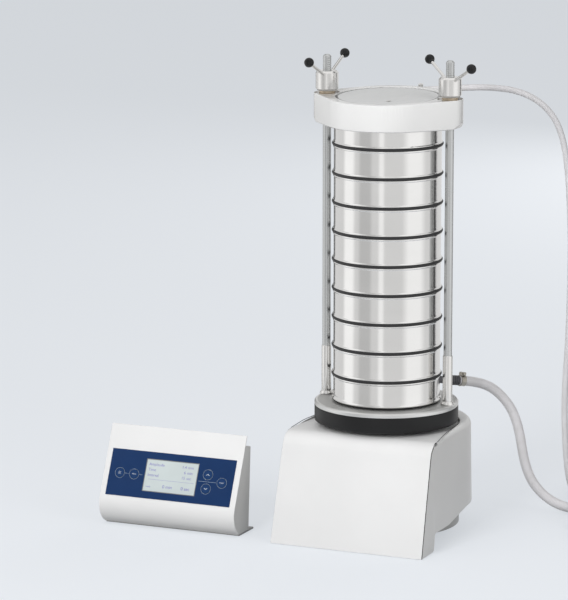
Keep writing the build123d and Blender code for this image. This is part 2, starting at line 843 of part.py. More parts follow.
def make_inlet():
    middle = (Align.CENTER, Align.CENTER, Align.MIN)
    root = bridge_radius - 4 + running_gap
    boss = Pos(0, root, inlet_level) * Rot(-90, 0, 0) * Cylinder(
        inlet_boss_radius, inlet_corner - root, align=middle
    )
    elbow = Pos(0, inlet_corner, inlet_level) * Sphere(inlet_boss_radius)
    arm = along_inlet(0) * Cylinder(inlet_tube_radius, inlet_arm, align=middle)
    clamp = along_inlet(inlet_arm + 2 + clamp_width / 2) * worm_clamp(
        inlet_hose_radius + running_gap, clamp_width - 2, 5.0
    )
    return boss + elbow + arm, clamp


# Nuts and levers

def lever_axis(azimuth, side):
    """The lever's axis from inside the nut, rising outwards, with Z pointing along it."""
    turn, tilt = math.radians(azimuth), math.radians(lever_tilt)
    out = Vector(math.cos(turn) * math.cos(tilt), math.sin(turn) * math.cos(tilt), math.sin(tilt))
    root = Vector(side * rod_x, 0, nut_foot + lever_level)
    root += Vector(math.cos(turn), math.sin(turn), 0) * lever_root
    return Plane(root, z_dir=out).location


def make_nut(side, azimuth):
    """A round nut with two levers and their ball knobs."""
    middle = (Align.CENTER, Align.CENTER, Align.MIN)
    nut = Cylinder(nut_radius, nut_height, align=middle)
    nut = fillet(nut.edges().filter_by(GeomType.CIRCLE), nut_round)
    nut -= Cylinder(rod_radius + running_gap, 3 * nut_height)
    nut = Pos(side * rod_x, 0, nut_foot) * nut
    knobs = []
    for turn in (azimuth, azimuth + 180):
        axis = lever_axis(turn, side)
        nut += axis * Cylinder(lever_radius, lever_length, align=middle)
        centre = lever_length + knob_radius - 2
        ball = axis * (Pos(0, 0, centre) * Sphere(knob_radius))
        collar = axis * (Pos(0, 0, lever_length - 3) * Cylinder(lever_radius + 1.5, 4, align=middle))
        socket = axis * Cylinder(lever_radius, lever_length, align=middle)
        knobs.append(ball + collar - socket)
    return nut, knobs


def make_washer(side):
    inner = rod_radius + running_gap
    ring = turned([
        (inner, washer_foot),
        (washer_radius, washer_foot),
        (washer_radius, nut_foot - 1),
        (washer_radius - 1, nut_foot),
        (inner, nut_foot),
    ])
    return Pos(side * rod_x, 0, 0) * ring


# Control unit

def unit_profile(inset):
    """The bent front sheet's outline from its top edge down the panel and round the nose."""
    turn = math.radians(panel_angle)
    down = (-math.sin(turn), -math.cos(turn))
    into = (math.cos(turn), -math.sin(turn))
    top = (into[0] * inset, unit_height + into[1] * inset)
    bend = (top[0] + down[0] * panel_length, top[1] + down[1] * panel_length)
    radius = nose_radius - inset
    centre = (bend[0] + into[0] * radius, bend[1] + into[1] * radius)
    last = math.radians(nose_end_angle)
    half_way = (last - turn) / 2
    end = (centre[0] - radius * math.cos(last), centre[1] - radius * math.sin(last))
    middle = (centre[0] - radius * math.cos(half_way), centre[1] - radius * math.sin(half_way))
    return top, bend, middle, end


def unit_sheet(outer_inset, inner_inset, half_length):
    """The region between two insets of the front outline, extruded along X."""
    a = [(0, y, z) for y, z in unit_profile(outer_inset)]
    b = [(0, y, z) for y, z in unit_profile(inner_inset)]
    lines = (
        Line(a[0], a[1]) + ThreePointArc(a[1], a[2], a[3]) + Line(a[3], b[3])
        + ThreePointArc(b[3], b[2], b[1]) + Line(b[1], b[0]) + Line(b[0], a[0])
    )
    return extrude(make_face(lines.edges()), half_length, dir=(1, 0, 0), both=True)


def unit_body(inset, half_length):
    """The housing's closed form behind the front sheet."""
    top, bend, middle, end = unit_profile(panel_thickness + inset)
    turn = math.radians(panel_angle)
    drop = (housing_top_drop + inset) / math.cos(turn)
    start = (top[0] - math.sin(turn) * drop, top[1] - math.cos(turn) * drop)
    back_top = (housing_back_top - inset, unit_height - housing_back_drop - inset)
    back_foot = (housing_back_foot[0] - inset, housing_back_foot[1] + inset)
    foot_front = (end[0] + inset, housing_back_foot[1] + inset)
    shape = [(0, y, z) for y, z in (start, bend, middle, end, foot_front, back_foot, back_top)]
    lines = (
        Line(shape[0], shape[1]) + ThreePointArc(shape[1], shape[2], shape[3]) + Line(shape[3], shape[4])
        + Line(shape[4], shape[5]) + Line(shape[5], shape[6]) + Line(shape[6], shape[0])
    )
    return extrude(make_face(lines.edges()), half_length, dir=(1, 0, 0), both=True)


def on_panel(x, distance, depth):
    """A place on the panel: along X, down the slope from its top edge, and out of its face."""
    turn = math.radians(panel_angle)
    down = Vector(0, -math.sin(turn), -math.cos(turn))
    out = Vector(0, -math.cos(turn), math.sin(turn))
    place = Vector(x, 0, unit_height) + down * distance + out * depth
    return Plane(place, x_dir=(1, 0, 0), z_dir=out).location


def make_unit():
    half = unit_width / 2
    low = (Align.CENTER, Align.CENTER, Align.MIN)
    front = unit_sheet(0, panel_thickness, half)
    housing = unit_body(0, half - housing_inset)
    housing -= unit_body(housing_wall, half - housing_inset - housing_wall)
    window_cut = on_panel(0, display_offset, -3 * panel_thickness) * Box(
        display_size[0] - 6, display_size[1] - 6, 8 * panel_thickness, align=low
    )
    key_cut_depth = 3 * panel_thickness
    membrane = on_panel(0, display_offset, 0) * Box(*membrane_size, membrane_thickness, align=low)
    membrane -= on_panel(0, display_offset, 0) * Box(*display_size, 4 * membrane_thickness)
    for x, drop in key_places:
        place = on_panel(x, display_offset + drop, -key_cut_depth)
        hole = place * Cylinder(key_radius + key_gap, 2 * key_cut_depth, align=low)
        front -= hole
        membrane -= hole
        housing -= hole
    front -= window_cut
    keys = [make_key(x, display_offset + drop) for x, drop in key_places]
    fit = running_gap
    display = on_panel(0, display_offset, 0) * Box(
        display_size[0] - 2 * fit, display_size[1] - 2 * fit, membrane_thickness, align=low
    )
    display += on_panel(0, display_offset, -panel_thickness) * Box(
        display_size[0] - 6 - 2 * fit, display_size[1] - 6 - 2 * fit, panel_thickness, align=low
    )
    level = -panel_thickness - housing_wall - board_drop
    plate_front = unit_profile(0)[3][0] + foot_plate_setback
    plate_rear = housing_back_foot[0] + foot_plate_stand
    foot = Pos(0, plate_front, 0) * Box(
        unit_width - 2 * housing_inset, plate_rear - plate_front, unit_foot_thickness,
        align=(Align.CENTER, Align.MIN, Align.MIN),
    )
    foot = fillet(foot.edges().filter_by(Axis.Z), 2)
    board = on_panel(0, board_offset, level) * Box(board_width, board_height, board_thickness, align=low)
    across, along = board_width / 2 - board_edge, board_height / 2 - board_edge
    for x, y in ((-across, -along), (across, -along), (-across, along), (across, along)):
        board += on_panel(x, board_offset + y, level) * Cylinder(standoff_radius, board_drop, align=low)
    shift = Pos(*unit_place, 0)
    return [shift * piece for piece in (front, housing, membrane, display, foot, board)], [
        shift * key for key in keys
    ]


def make_key(x, distance):
    low = (Align.CENTER, Align.CENTER, Align.MIN)
    depth = membrane_thickness + key_stand - key_length
    key = Cylinder(key_radius, key_length, align=low)
    key = fillet(key.faces().sort_by(Axis.Z)[-1].edges(), 0.4)
    return on_panel(x, distance, depth) * key


# Hoses

def corner_radii(points):
    """Each arc takes 0.45 of the shorter of its two runs."""
    radii = []
    for before, here, after in zip(points, points[1:], points[2:]):
        first, second = Vector(*here) - Vector(*before), Vector(*after) - Vector(*here)
        turn = math.radians(first.get_angle(second))
        radii.append(0.45 * min(first.length, second.length) / math.tan(turn / 2))
    return radii


def make_hose(name, start, route, radius):
    points = [tuple(start)] + route
    radii = corner_radii(points)
    path = FilletPolyline(points, radius=radii)
    heading = Vector(*points[1]) - Vector(*points[0])
    hose = sweep(Plane(points[0], z_dir=heading) * Circle(radius), path=path)
    print(name, "radii", [round(r) for r in radii])
    share = hose.volume / (path.length * math.pi * radius**2)
    print(name, "length", round(path.length), "volume share", round(share, 5))
    return hose


def make_coil(centre, radius, hose_radius, layers, hose):
    """The outer shape of the hose's turns, lying flat, with a way in for the hose."""
    height = 2 * hose_radius * layers
    ring = tube(radius + hose_radius, radius - hose_radius, 0, height)
    ring = Pos(*centre, 0) * fillet(ring.edges().filter_by(GeomType.CIRCLE), 0.6 * hose_radius)
    return ring - hose


def build():
    save("front_cover", make_front_cover())
    save("side_shell", make_side_shell())
    save("base_tray", make_base_tray())
    save("rubber_feet", *make_feet())
    yoke, coil = make_magnet()
    save("magnet_yoke", yoke)
    save("magnet_coil", coil)
    save("rubber_buffers", *make_buffers())
    plate, inlet, socket, rocker = make_rear_panel()
    save("rear_panel", plate, inlet, socket)
    save("rocker_switch", rocker)

    save("armature_column", make_column())
    save("table_disc", make_table_disc())
    save("table_plate", make_table_plate())
    save("pan_gasket", tube(gasket_outer, gasket_inner, plate_top, pan_foot))
    save("clamp_rods", *make_rods())
    save("rod_sleeves", *make_sleeves())

    save("receiver_pan", make_pan())
    spout, outlet_clamp = make_outlet()
    save("outlet_fitting", spout, outlet_clamp)
    outlet_start = along_outlet(outlet_reach + running_gap).position
    outlet_hose = make_hose("outlet hose", outlet_start, outlet_route, outlet_hose_radius)
    save("outlet_hose", outlet_hose)
    save("outlet_hose_coil", make_coil(
        outlet_coil_centre, outlet_coil_radius, outlet_hose_radius, outlet_coil_layers, outlet_hose))

    for k in range(sieve_count):
        joint = first_joint + (sieve_count - 1 - k) * sieve_pitch
        save(f"sieve_{k + 1}", make_sieve(joint))
        save(f"seal_{k + 1}", make_seal(joint))

    save("clamp_bridge", make_bridge())
    lid, nozzle = make_lid()
    save("cover_lid", lid)
    save("spray_nozzle", nozzle)
    elbow, inlet_clamp = make_inlet()
    save("water_inlet", elbow, inlet_clamp)
    inlet_start = along_inlet(inlet_arm + running_gap).position
    inlet_hose = make_hose("inlet hose", inlet_start, inlet_route, inlet_hose_radius)
    save("inlet_hose", inlet_hose)
    save("inlet_hose_coil", make_coil(
        inlet_coil_centre, inlet_coil_radius, inlet_hose_radius, inlet_coil_layers, inlet_hose))

    for word, side, azimuth in (("left", -1, left_lever_azimuth), ("right", 1, right_lever_azimuth)):
        nut, knobs = make_nut(side, azimuth)
        save(f"washer_{word}", make_washer(side))
        save(f"nut_{word}", nut)
        save(f"knobs_{word}", *knobs)

    pieces, keys = make_unit()
    names = ("unit_front", "unit_housing", "keypad_membrane", "display_window", "unit_foot", "unit_board")
    for name, piece in zip(names, pieces):
        save(name, piece)
    for k, key in enumerate(keys):
        save(f"key_{k + 1}", key)


build()
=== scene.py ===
import json
import math

import bmesh
import bpy
from mathutils import Matrix, Vector

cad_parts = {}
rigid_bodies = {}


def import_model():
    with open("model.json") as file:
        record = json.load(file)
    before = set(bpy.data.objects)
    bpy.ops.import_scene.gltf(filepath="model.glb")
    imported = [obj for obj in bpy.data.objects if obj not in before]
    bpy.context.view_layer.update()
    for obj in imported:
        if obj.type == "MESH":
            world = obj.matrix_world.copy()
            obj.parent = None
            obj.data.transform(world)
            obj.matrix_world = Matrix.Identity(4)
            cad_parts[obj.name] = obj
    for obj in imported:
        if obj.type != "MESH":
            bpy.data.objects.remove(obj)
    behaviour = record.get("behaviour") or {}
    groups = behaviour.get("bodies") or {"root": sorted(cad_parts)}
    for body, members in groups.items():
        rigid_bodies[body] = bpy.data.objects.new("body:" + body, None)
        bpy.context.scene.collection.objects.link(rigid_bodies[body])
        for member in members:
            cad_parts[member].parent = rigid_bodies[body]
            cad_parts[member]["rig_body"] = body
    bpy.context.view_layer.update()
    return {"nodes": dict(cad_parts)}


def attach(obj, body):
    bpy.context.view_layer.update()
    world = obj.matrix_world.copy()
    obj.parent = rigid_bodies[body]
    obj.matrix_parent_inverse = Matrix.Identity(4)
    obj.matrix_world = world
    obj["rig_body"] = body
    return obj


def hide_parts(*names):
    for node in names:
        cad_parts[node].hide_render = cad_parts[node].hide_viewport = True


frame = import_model()
scene = bpy.context.scene
up = Vector((0, 0, 1))

# Camera

def add_camera():
    """The photograph's camera, from the fit to the stack, the housing and the control unit."""
    data = bpy.data.cameras.new("camera")
    data.sensor_fit = "VERTICAL"
    data.sensor_height = 36
    data.lens = 209.45
    data.clip_end = 60
    camera = bpy.data.objects.new("camera", data)
    camera.location = (2.455, -6.019, 1.673)
    camera.rotation_euler = (math.pi / 2 - 0.187, 0, math.radians(22.19) + 0.030)
    scene.collection.objects.link(camera)
    scene.camera = camera


add_camera()

# Materials

def new_material(name):
    material = bpy.data.materials.new(name)
    material.use_nodes = True
    nodes = material.node_tree.nodes
    nodes.clear()
    output = nodes.new("ShaderNodeOutputMaterial")
    shader = nodes.new("ShaderNodeBsdfPrincipled")
    material.node_tree.links.new(shader.outputs[0], output.inputs[0])
    return material, shader


def node(material, kind, values=(), **settings):
    """Adds a node, sets its properties and its inputs by name or number."""
    made = material.node_tree.nodes.new(kind)
    for key, value in settings.items():
        setattr(made, key, value)
    for key, value in values:
        made.inputs[key].default_value = value
    return made


def join(material, source, target):
    material.node_tree.links.new(source, target)


def coordinates(material, scale):
    """Object coordinates stretched by scale, so a grain keeps its real size."""
    place = node(material, "ShaderNodeTexCoord")
    mapping = node(material, "ShaderNodeMapping", [("Scale", scale)])
    join(material, place.outputs["Object"], mapping.inputs["Vector"])
    return mapping.outputs["Vector"]


def spread(material, fac, low, high):
    """A factor of 0 to 1 laid over low to high."""
    ranged = node(material, "ShaderNodeMapRange", [("To Min", low), ("To Max", high)])
    join(material, fac, ranged.inputs["Value"])
    return ranged.outputs["Result"]


def ramp(material, fac, stops):
    made = node(material, "ShaderNodeValToRGB")
    colours = made.color_ramp.elements
    while len(colours) < len(stops):
        colours.new(0.5)
    for element, (place, colour) in zip(colours, stops):
        element.position = place
        element.color = (*colour, 1)
    join(material, fac, made.inputs["Fac"])
    return made.outputs["Color"]


def shade(colour, amount):
    return tuple(min(1, c * amount) for c in colour)


def bumped(material, shader, height, strength, distance):
    bump = node(material, "ShaderNodeBump", [("Strength", strength), ("Distance", distance)])
    join(material, height, bump.inputs["Height"])
    join(material, bump.outputs["Normal"], shader.inputs["Normal"])


def paint(name, colour, rough, grain=0.0008, depth=0.00003, coat=0.0, specular=0.5):
    """Sprayed paint: faint colour drift and fine orange peel."""
    material, shader = new_material(name)
    drift = node(material, "ShaderNodeTexNoise", [("Scale", 1.0), ("Detail", 4.0)])
    join(material, coordinates(material, (7, 7, 7)), drift.inputs["Vector"])
    colours = ramp(material, drift.outputs["Fac"], [(0.3, shade(colour, 0.97)), (0.7, shade(colour, 1.02))])
    join(material, colours, shader.inputs["Base Color"])
    peel = node(material, "ShaderNodeTexNoise", [("Scale", 1 / grain), ("Detail", 2.0)])
    join(material, coordinates(material, (1, 1, 1)), peel.inputs["Vector"])
    gloss = spread(material, peel.outputs["Fac"], rough - 0.04, rough + 0.04)
    join(material, gloss, shader.inputs["Roughness"])
    bumped(material, shader, peel.outputs["Fac"], 0.35, depth)
    shader.inputs["Specular IOR Level"].default_value = specular
    shader.inputs["Coat Weight"].default_value = coat
    shader.inputs["Coat Roughness"].default_value = 0.12
    return material


def turned_metal(name, colour, rough, pitch=0.0004, depth=0.000012):
    """Metal turned on a lathe: fine rings along the axis, with slight smears in gloss and tone."""
    material, shader = new_material(name)
    shader.inputs["Metallic"].default_value = 1
    rings = node(material, "ShaderNodeTexNoise", [("Scale", 1.0), ("Detail", 3.0), ("Roughness", 0.6)])
    join(material, coordinates(material, (2, 2, 0.5 / pitch)), rings.inputs["Vector"])
    smear = node(material, "ShaderNodeTexNoise", [("Scale", 9.0), ("Detail", 5.0)])
    join(material, coordinates(material, (1, 1, 2.5)), smear.inputs["Vector"])
    tone = ramp(material, smear.outputs["Fac"], [(0.25, shade(colour, 0.96)), (0.75, shade(colour, 1.02))])
    join(material, tone, shader.inputs["Base Color"])
    mixed = node(material, "ShaderNodeMath", operation="ADD")
    join(material, rings.outputs["Fac"], mixed.inputs[0])
    join(material, smear.outputs["Fac"], mixed.inputs[1])
    ranged = node(material, "ShaderNodeMapRange", [
        ("From Min", 0.6), ("From Max", 1.4), ("To Min", rough * 0.75), ("To Max", rough * 1.3)])
    join(material, mixed.outputs[0], ranged.inputs["Value"])
    join(material, ranged.outputs["Result"], shader.inputs["Roughness"])
    bumped(material, shader, rings.outputs["Fac"], 0.06, depth)
    return material


def faced_metal(name, colour, rough, pitch=0.0009, depth=0.00002):
    """Metal faced on a lathe: fine circles about the upright axis."""
    material, shader = new_material(name)
    shader.inputs["Metallic"].default_value = 1
    place = coordinates(material, (1, 1, 0))
    far = node(material, "ShaderNodeVectorMath", operation="LENGTH")
    join(material, place, far.inputs[0])
    circles = node(material, "ShaderNodeMath", [(1, 1 / pitch)], operation="MULTIPLY")
    join(material, far.outputs["Value"], circles.inputs[0])
    rings = node(material, "ShaderNodeTexNoise", [("Scale", 1.0), ("Detail", 2.0)], noise_dimensions="1D")
    join(material, circles.outputs[0], rings.inputs["W"])
    smear = node(material, "ShaderNodeTexNoise", [("Scale", 22.0), ("Detail", 4.0)])
    join(material, coordinates(material, (1, 1, 1)), smear.inputs["Vector"])
    tone = ramp(material, smear.outputs["Fac"], [(0.3, shade(colour, 0.92)), (0.7, shade(colour, 1.05))])
    join(material, tone, shader.inputs["Base Color"])
    gloss = spread(material, rings.outputs["Fac"], rough * 0.8, rough * 1.25)
    join(material, gloss, shader.inputs["Roughness"])
    bumped(material, shader, rings.outputs["Fac"], 0.15, depth)
    return material


def moulded(name, colour, rough, grain=0.0005, depth=0.00002, contrast=0.08, specular=0.5):
    """Moulded rubber or plastic: fine grain with a slight drift in tone and gloss."""
    material, shader = new_material(name)
    fine = node(material, "ShaderNodeTexNoise", [("Scale", 1 / grain), ("Detail", 3.0)])
    join(material, coordinates(material, (1, 1, 1)), fine.inputs["Vector"])
    drift = node(material, "ShaderNodeTexNoise", [("Scale", 30.0), ("Detail", 4.0)])
    join(material, coordinates(material, (1, 1, 1)), drift.inputs["Vector"])
    tone = ramp(material, drift.outputs["Fac"], [
        (0.25, shade(colour, 1 - contrast)), (0.75, shade(colour, 1 + contrast))])
    join(material, tone, shader.inputs["Base Color"])
    gloss = spread(material, drift.outputs["Fac"], rough - 0.05, rough + 0.07)
    join(material, gloss, shader.inputs["Roughness"])
    bumped(material, shader, fine.outputs["Fac"], 0.4, depth)
    shader.inputs["Specular IOR Level"].default_value = specular
    return material


def woven_cloth():
    """Plain woven wire at a 1 mm pitch, as two crossed waves."""
    material, shader = new_material("wire_cloth")
    shader.inputs["Metallic"].default_value = 1
    heights = []
    for direction in ("X", "Y"):
        wave = node(material, "ShaderNodeTexWave", [("Scale", 160.0), ("Distortion", 0.0)],
                    wave_type="BANDS", bands_direction=direction, wave_profile="SIN")
        join(material, coordinates(material, (1, 1, 1)), wave.inputs["Vector"])
        heights.append(wave.outputs["Fac"])
    high = node(material, "ShaderNodeMath", operation="MAXIMUM")
    join(material, heights[0], high.inputs[0])
    join(material, heights[1], high.inputs[1])
    tone = ramp(material, high.outputs[0], [(0.35, (0.10, 0.10, 0.10)), (0.85, (0.62, 0.62, 0.61))])
    join(material, tone, shader.inputs["Base Color"])
    join(material, spread(material, high.outputs[0], 0.6, 0.3), shader.inputs["Roughness"])
    bumped(material, shader, high.outputs[0], 0.8, 0.0002)
    return material


def silicone_tube():
    material, shader = new_material("silicone_tube")
    haze = node(material, "ShaderNodeTexNoise", [("Scale", 60.0), ("Detail", 4.0)])
    join(material, coordinates(material, (1, 1, 1)), haze.inputs["Vector"])
    tone = ramp(material, haze.outputs["Fac"], [(0.3, (0.68, 0.67, 0.68)), (0.7, (0.74, 0.73, 0.75))])
    join(material, tone, shader.inputs["Base Color"])
    join(material, spread(material, haze.outputs["Fac"], 0.25, 0.4), shader.inputs["Roughness"])
    shader.inputs["Subsurface Weight"].default_value = 0.25
    shader.inputs["Subsurface Radius"].default_value = (0.006, 0.006, 0.006)
    bumped(material, shader, haze.outputs["Fac"], 0.2, 0.0001)
    return material


def clear_sheet():
    """Clear plastic with faint scratches, and a dark ring in its colour just inside the round edge."""
    material, shader = new_material("clear_sheet")
    scratch = node(material, "ShaderNodeTexNoise", [("Scale", 1.0), ("Detail", 6.0)])
    join(material, coordinates(material, (900, 25, 60)), scratch.inputs["Vector"])
    tone = ramp(material, scratch.outputs["Fac"], [(0.3, (0.80, 0.81, 0.81)), (0.7, (0.86, 0.87, 0.87))])
    far = node(material, "ShaderNodeVectorMath", operation="LENGTH")
    join(material, coordinates(material, (10, 10, 0)), far.inputs[0])
    edge = ramp(material, far.outputs["Value"], [
        (0.0, (0.94, 0.94, 0.94)), (0.8, (1, 1, 1)), (0.935, (1, 1, 1)), (0.95, (0.16, 0.16, 0.16))])
    mixed = node(material, "ShaderNodeMix", [("Factor", 1.0)], data_type="RGBA", blend_type="MULTIPLY")
    join(material, tone, mixed.inputs["A"])
    join(material, edge, mixed.inputs["B"])
    join(material, mixed.outputs["Result"], shader.inputs["Base Color"])
    join(material, spread(material, scratch.outputs["Fac"], 0.05, 0.14), shader.inputs["Roughness"])
    shader.inputs["Alpha"].default_value = 0.84
    bumped(material, shader, scratch.outputs["Fac"], 0.05, 0.00002)
    return material


silver = paint("silver_paint", (0.785, 0.785, 0.785), 0.42)
white = paint("white_paint", (0.78, 0.78, 0.775), 0.40)
gloss_white = paint("gloss_white_paint", (0.82, 0.82, 0.815), 0.22, grain=0.0015, coat=0.3)
# The base tray is the shell's paint, made darker grey: painted shade under the shell.
tray_grey_as_painted_shade = paint("grey_paint", (0.42, 0.42, 0.415), 0.45)
# The foot plate's dark grey is partly its own paint and partly painted shade, as it sits under the unit.
foot_grey_and_painted_shade = paint("foot_paint_and_painted_shade", (0.26, 0.26, 0.26), 0.42)
# The unit's housing is the same silver paint as its front, made darker grey: painted shade on its sides.
housing_grey_and_painted_shade = paint("housing_paint_and_painted_shade", (0.62, 0.62, 0.612), 0.45)
black = paint("black_paint", (0.008, 0.008, 0.0085), 0.42, grain=0.0006, specular=0.3)
polished = turned_metal("polished_steel", (0.80, 0.795, 0.785), 0.12)
spun = turned_metal("turned_steel", (0.78, 0.77, 0.755), 0.2, pitch=0.0005)
ground = turned_metal("ground_steel", (0.56, 0.57, 0.57), 0.3, pitch=0.0006)
rim_steel = turned_metal("rim_steel", (0.72, 0.72, 0.71), 0.34, pitch=0.0005)
plated = turned_metal("plated_steel", (0.33, 0.33, 0.34), 0.4)
satin_plate = faced_metal("faced_steel", (0.60, 0.60, 0.59), 0.5)
bronze = turned_metal("bronze", (0.60, 0.50, 0.38), 0.34)
clamp_steel = turned_metal("clamp_steel", (0.36, 0.34, 0.30), 0.3)
rubber = moulded("black_rubber", (0.016, 0.016, 0.017), 0.55)
ball = moulded("ball_plastic", (0.005, 0.005, 0.0055), 0.13, grain=0.002, depth=0.000005, specular=0.35)
dark = moulded("dark_plastic", (0.03, 0.03, 0.032), 0.5)
pipe_grey = moulded("pipe_plastic", (0.10, 0.10, 0.11), 0.4)
navy = moulded(
    "membrane_film", (0.008, 0.032, 0.108), 0.38, grain=0.0004, depth=0.00001, contrast=0.04, specular=0.15)
key_navy = moulded(
    "key_film", (0.012, 0.042, 0.13), 0.34, grain=0.0004, depth=0.00001, contrast=0.04, specular=0.15)
line_white = moulded("printed_white", (0.66, 0.71, 0.76), 0.5, contrast=0.03)
line_blue = moulded("printed_blue", (0.30, 0.38, 0.47), 0.5, contrast=0.03)
line_violet = moulded("display_violet", (0.16, 0.15, 0.46), 0.5, contrast=0.03)
glass_grey = moulded("display_grey", (0.56, 0.62, 0.62), 0.16, grain=0.004, depth=0.000004, contrast=0.03)
bezel_grey = moulded("display_bezel", (0.16, 0.17, 0.18), 0.3)
laminate = moulded("board_green", (0.03, 0.16, 0.08), 0.4)
winding = turned_metal("enamelled_wire", (0.55, 0.22, 0.10), 0.35, pitch=0.001, depth=0.0002)
cloth = woven_cloth()
silicone = silicone_tube()
lid_sheet = clear_sheet()

# Building pieces

def add_piece(name, body, material, mesh, stands_for=(), materials=()):
    """Links a mesh as a piece that rides on a CAD body, and hides the nodes that it stands for."""
    mesh.materials.append(material)
    for extra in materials:
        mesh.materials.append(extra)
    piece = bpy.data.objects.new(name, mesh)
    scene.collection.objects.link(piece)
    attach(piece, body)
    if stands_for:
        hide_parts(*stands_for)
    return piece


def rounded(outline, steps=4):
    """A closed outline's points, with corners rounded where a point gives a third number."""
    made = []
    total = len(outline)
    for i, point in enumerate(outline):
        here = Vector(point[:2])
        radius = point[2] if len(point) > 2 else 0
        if not radius:
            made.append(here)
            continue
        before = Vector(outline[i - 1][:2]) - here
        after = Vector(outline[(i + 1) % total][:2]) - here
        half = before.angle(after) / 2
        cut = min(radius / math.tan(half), 0.48 * before.length, 0.48 * after.length)
        start = here + before.normalized() * cut
        end = here + after.normalized() * cut
        for s in range(steps + 1):
            t = s / steps
            made.append(start.lerp(here, t).lerp(here.lerp(end, t), t))
    return made


def circle(mesh, place, radius, height, segments):
    """Adds a circle of points round the placement's Z, in millimetres."""
    made = []
    for s in range(segments):
        turn = 2 * math.pi * s / segments
        spot = Vector((radius * math.cos(turn), radius * math.sin(turn), height)) / 1000
        made.append(mesh.verts.new(place @ spot))
    return made


def lathe(mesh, outline, place=None, segments=128, zone=None, steps=4):
    """Adds a turned form to a bmesh from an outline of (radius, height) in millimetres.
    zone gives a material number from a face's middle radius and height."""
    place = place or Matrix.Identity(4)
    points = rounded(outline, steps)
    rings = []
    for radius, height in points:
        if radius < 1e-4:
            rings.append([mesh.verts.new(place @ Vector((0, 0, height / 1000)))])
            continue
        rings.append(circle(mesh, place, radius, height, segments))
    for i, low in enumerate(rings):
        high = rings[(i + 1) % len(rings)]
        if len(low) == 1 and len(high) == 1:
            continue
        middle = (points[i] + points[(i + 1) % len(points)]) / 2
        for s in range(segments):
            t = (s + 1) % segments
            if len(low) == 1:
                corners = [low[0], high[t], high[s]]
            elif len(high) == 1:
                corners = [low[s], low[t], high[0]]
            else:
                corners = [low[s], low[t], high[t], high[s]]
            face = mesh.faces.new(corners)
            face.smooth = True
            if zone:
                face.material_index = zone(middle.x, middle.y)


def finished(mesh, name, sharp=32):
    """Turns a bmesh into a mesh with outward normals and sharp edges where the form turns."""
    bmesh.ops.recalc_face_normals(mesh, faces=mesh.faces)
    for face in mesh.faces:
        face.smooth = True
    data = bpy.data.meshes.new(name)
    mesh.to_mesh(data)
    mesh.free()
    data.set_sharp_from_angle(angle=math.radians(sharp))
    return data


def refined(name, width, material):
    """A CAD node with its triangles joined into flats and its edges rounded by width millimetres."""
    source = frame["nodes"][name]
    mesh = bmesh.new()
    mesh.from_mesh(source.data)
    bmesh.ops.remove_doubles(mesh, verts=mesh.verts, dist=2e-6)
    bmesh.ops.dissolve_limit(
        mesh, angle_limit=math.radians(0.4), verts=mesh.verts, edges=mesh.edges, delimit={"NORMAL"})
    if width:
        edges = [e for e in mesh.edges if e.is_manifold and e.calc_face_angle(0) > math.radians(28)]
        bmesh.ops.bevel(
            mesh, geom=edges, offset=width / 1000, segments=3, profile=0.5, affect="EDGES",
            clamp_overlap=True)
    data = finished(mesh, name + "_form", 34)
    add_piece(name + "_dressed", source["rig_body"], material, data, [name])


def facing(origin, direction, across=None):
    """A placement with Z along direction, in millimetres."""
    z = Vector(direction).normalized()
    x = Vector(across).normalized() if across else up.cross(z)
    if x.length < 1e-6:
        x = Vector((1, 0, 0))
    x = (x - z * x.dot(z)).normalized()
    y = z.cross(x)
    turn = Matrix((x, y, z)).transposed().to_4x4()
    return Matrix.Translation(Vector(origin) / 1000) @ turn


# Hoses

outlet_start = (0.098503, 0.126079, 0.271993)
outlet_route = [
    (0.129, 0.165, 0.265), (0.161, 0.192, 0.239), (0.190, 0.209, 0.188), (0.205, 0.215, 0.082),
    (0.239, 0.226, 0.033), (0.283, 0.242, 0.0095), (0.338, 0.264, 0.0095), (0.388, 0.287, 0.0095),
]
inlet_start = (0.007282, 0.129396, 0.828991)
inlet_route = [
    (0.071, 0.159, 0.833), (0.135, 0.187, 0.835), (0.187, 0.215, 0.826), (0.226, 0.242, 0.798),
    (0.250, 0.263, 0.754), (0.262, 0.277, 0.676), (0.268, 0.285, 0.526), (0.264, 0.290, 0.356),
    (0.255, 0.291, 0.206), (0.260, 0.297, 0.088), (0.262, 0.318, 0.034), (0.264, 0.360, 0.006),
    (0.264, 0.402, 0.006),
]


points_per_turn = 15


def coil_points(centre, end, radius, size, turns):
    """Clockwise turns from the route's end, each new layer rising onto the last in a long low hump."""
    first = math.atan2(end[1] - centre[1], end[0] - centre[0])
    steps = int(round(turns * points_per_turn))
    points = []
    for s in range(1, steps + 1):
        angle = first - 2 * math.pi * s / points_per_turn
        layer = min(s / points_per_turn, turns)
        whole = int(layer)
        rise = max(0, min(1, (layer - whole - 0.6) / 0.3))
        height = size / 2 + size * (whole + rise * rise * (3 - 2 * rise))
        reach = radius * (1 + 0.012 * math.sin(2.3 * s))
        points.append((centre[0] + reach * math.cos(angle), centre[1] + reach * math.sin(angle), height))
    return points


def hose_curve(name, points):
    """One smooth open spline with the route's points as its control points."""
    curve = bpy.data.curves.new(name, "CURVE")
    curve.dimensions = "3D"
    curve.resolution_u = 10
    spline = curve.splines.new("NURBS")
    spline.points.add(len(points) - 1)
    for point, place in zip(spline.points, points):
        point.co = (*place, 1)
    spline.order_u = 3
    spline.use_endpoint_u = True
    return curve


def centre_line(points):
    """The smooth line of a route, read from its spline with no bevel."""
    holder = bpy.data.objects.new("line", hose_curve("line", points))
    scene.collection.objects.link(holder)
    bpy.context.view_layer.update()
    shape = bpy.data.meshes.new_from_object(holder)
    line = [v.co.copy() for v in shape.vertices]
    bpy.data.objects.remove(holder)
    return line


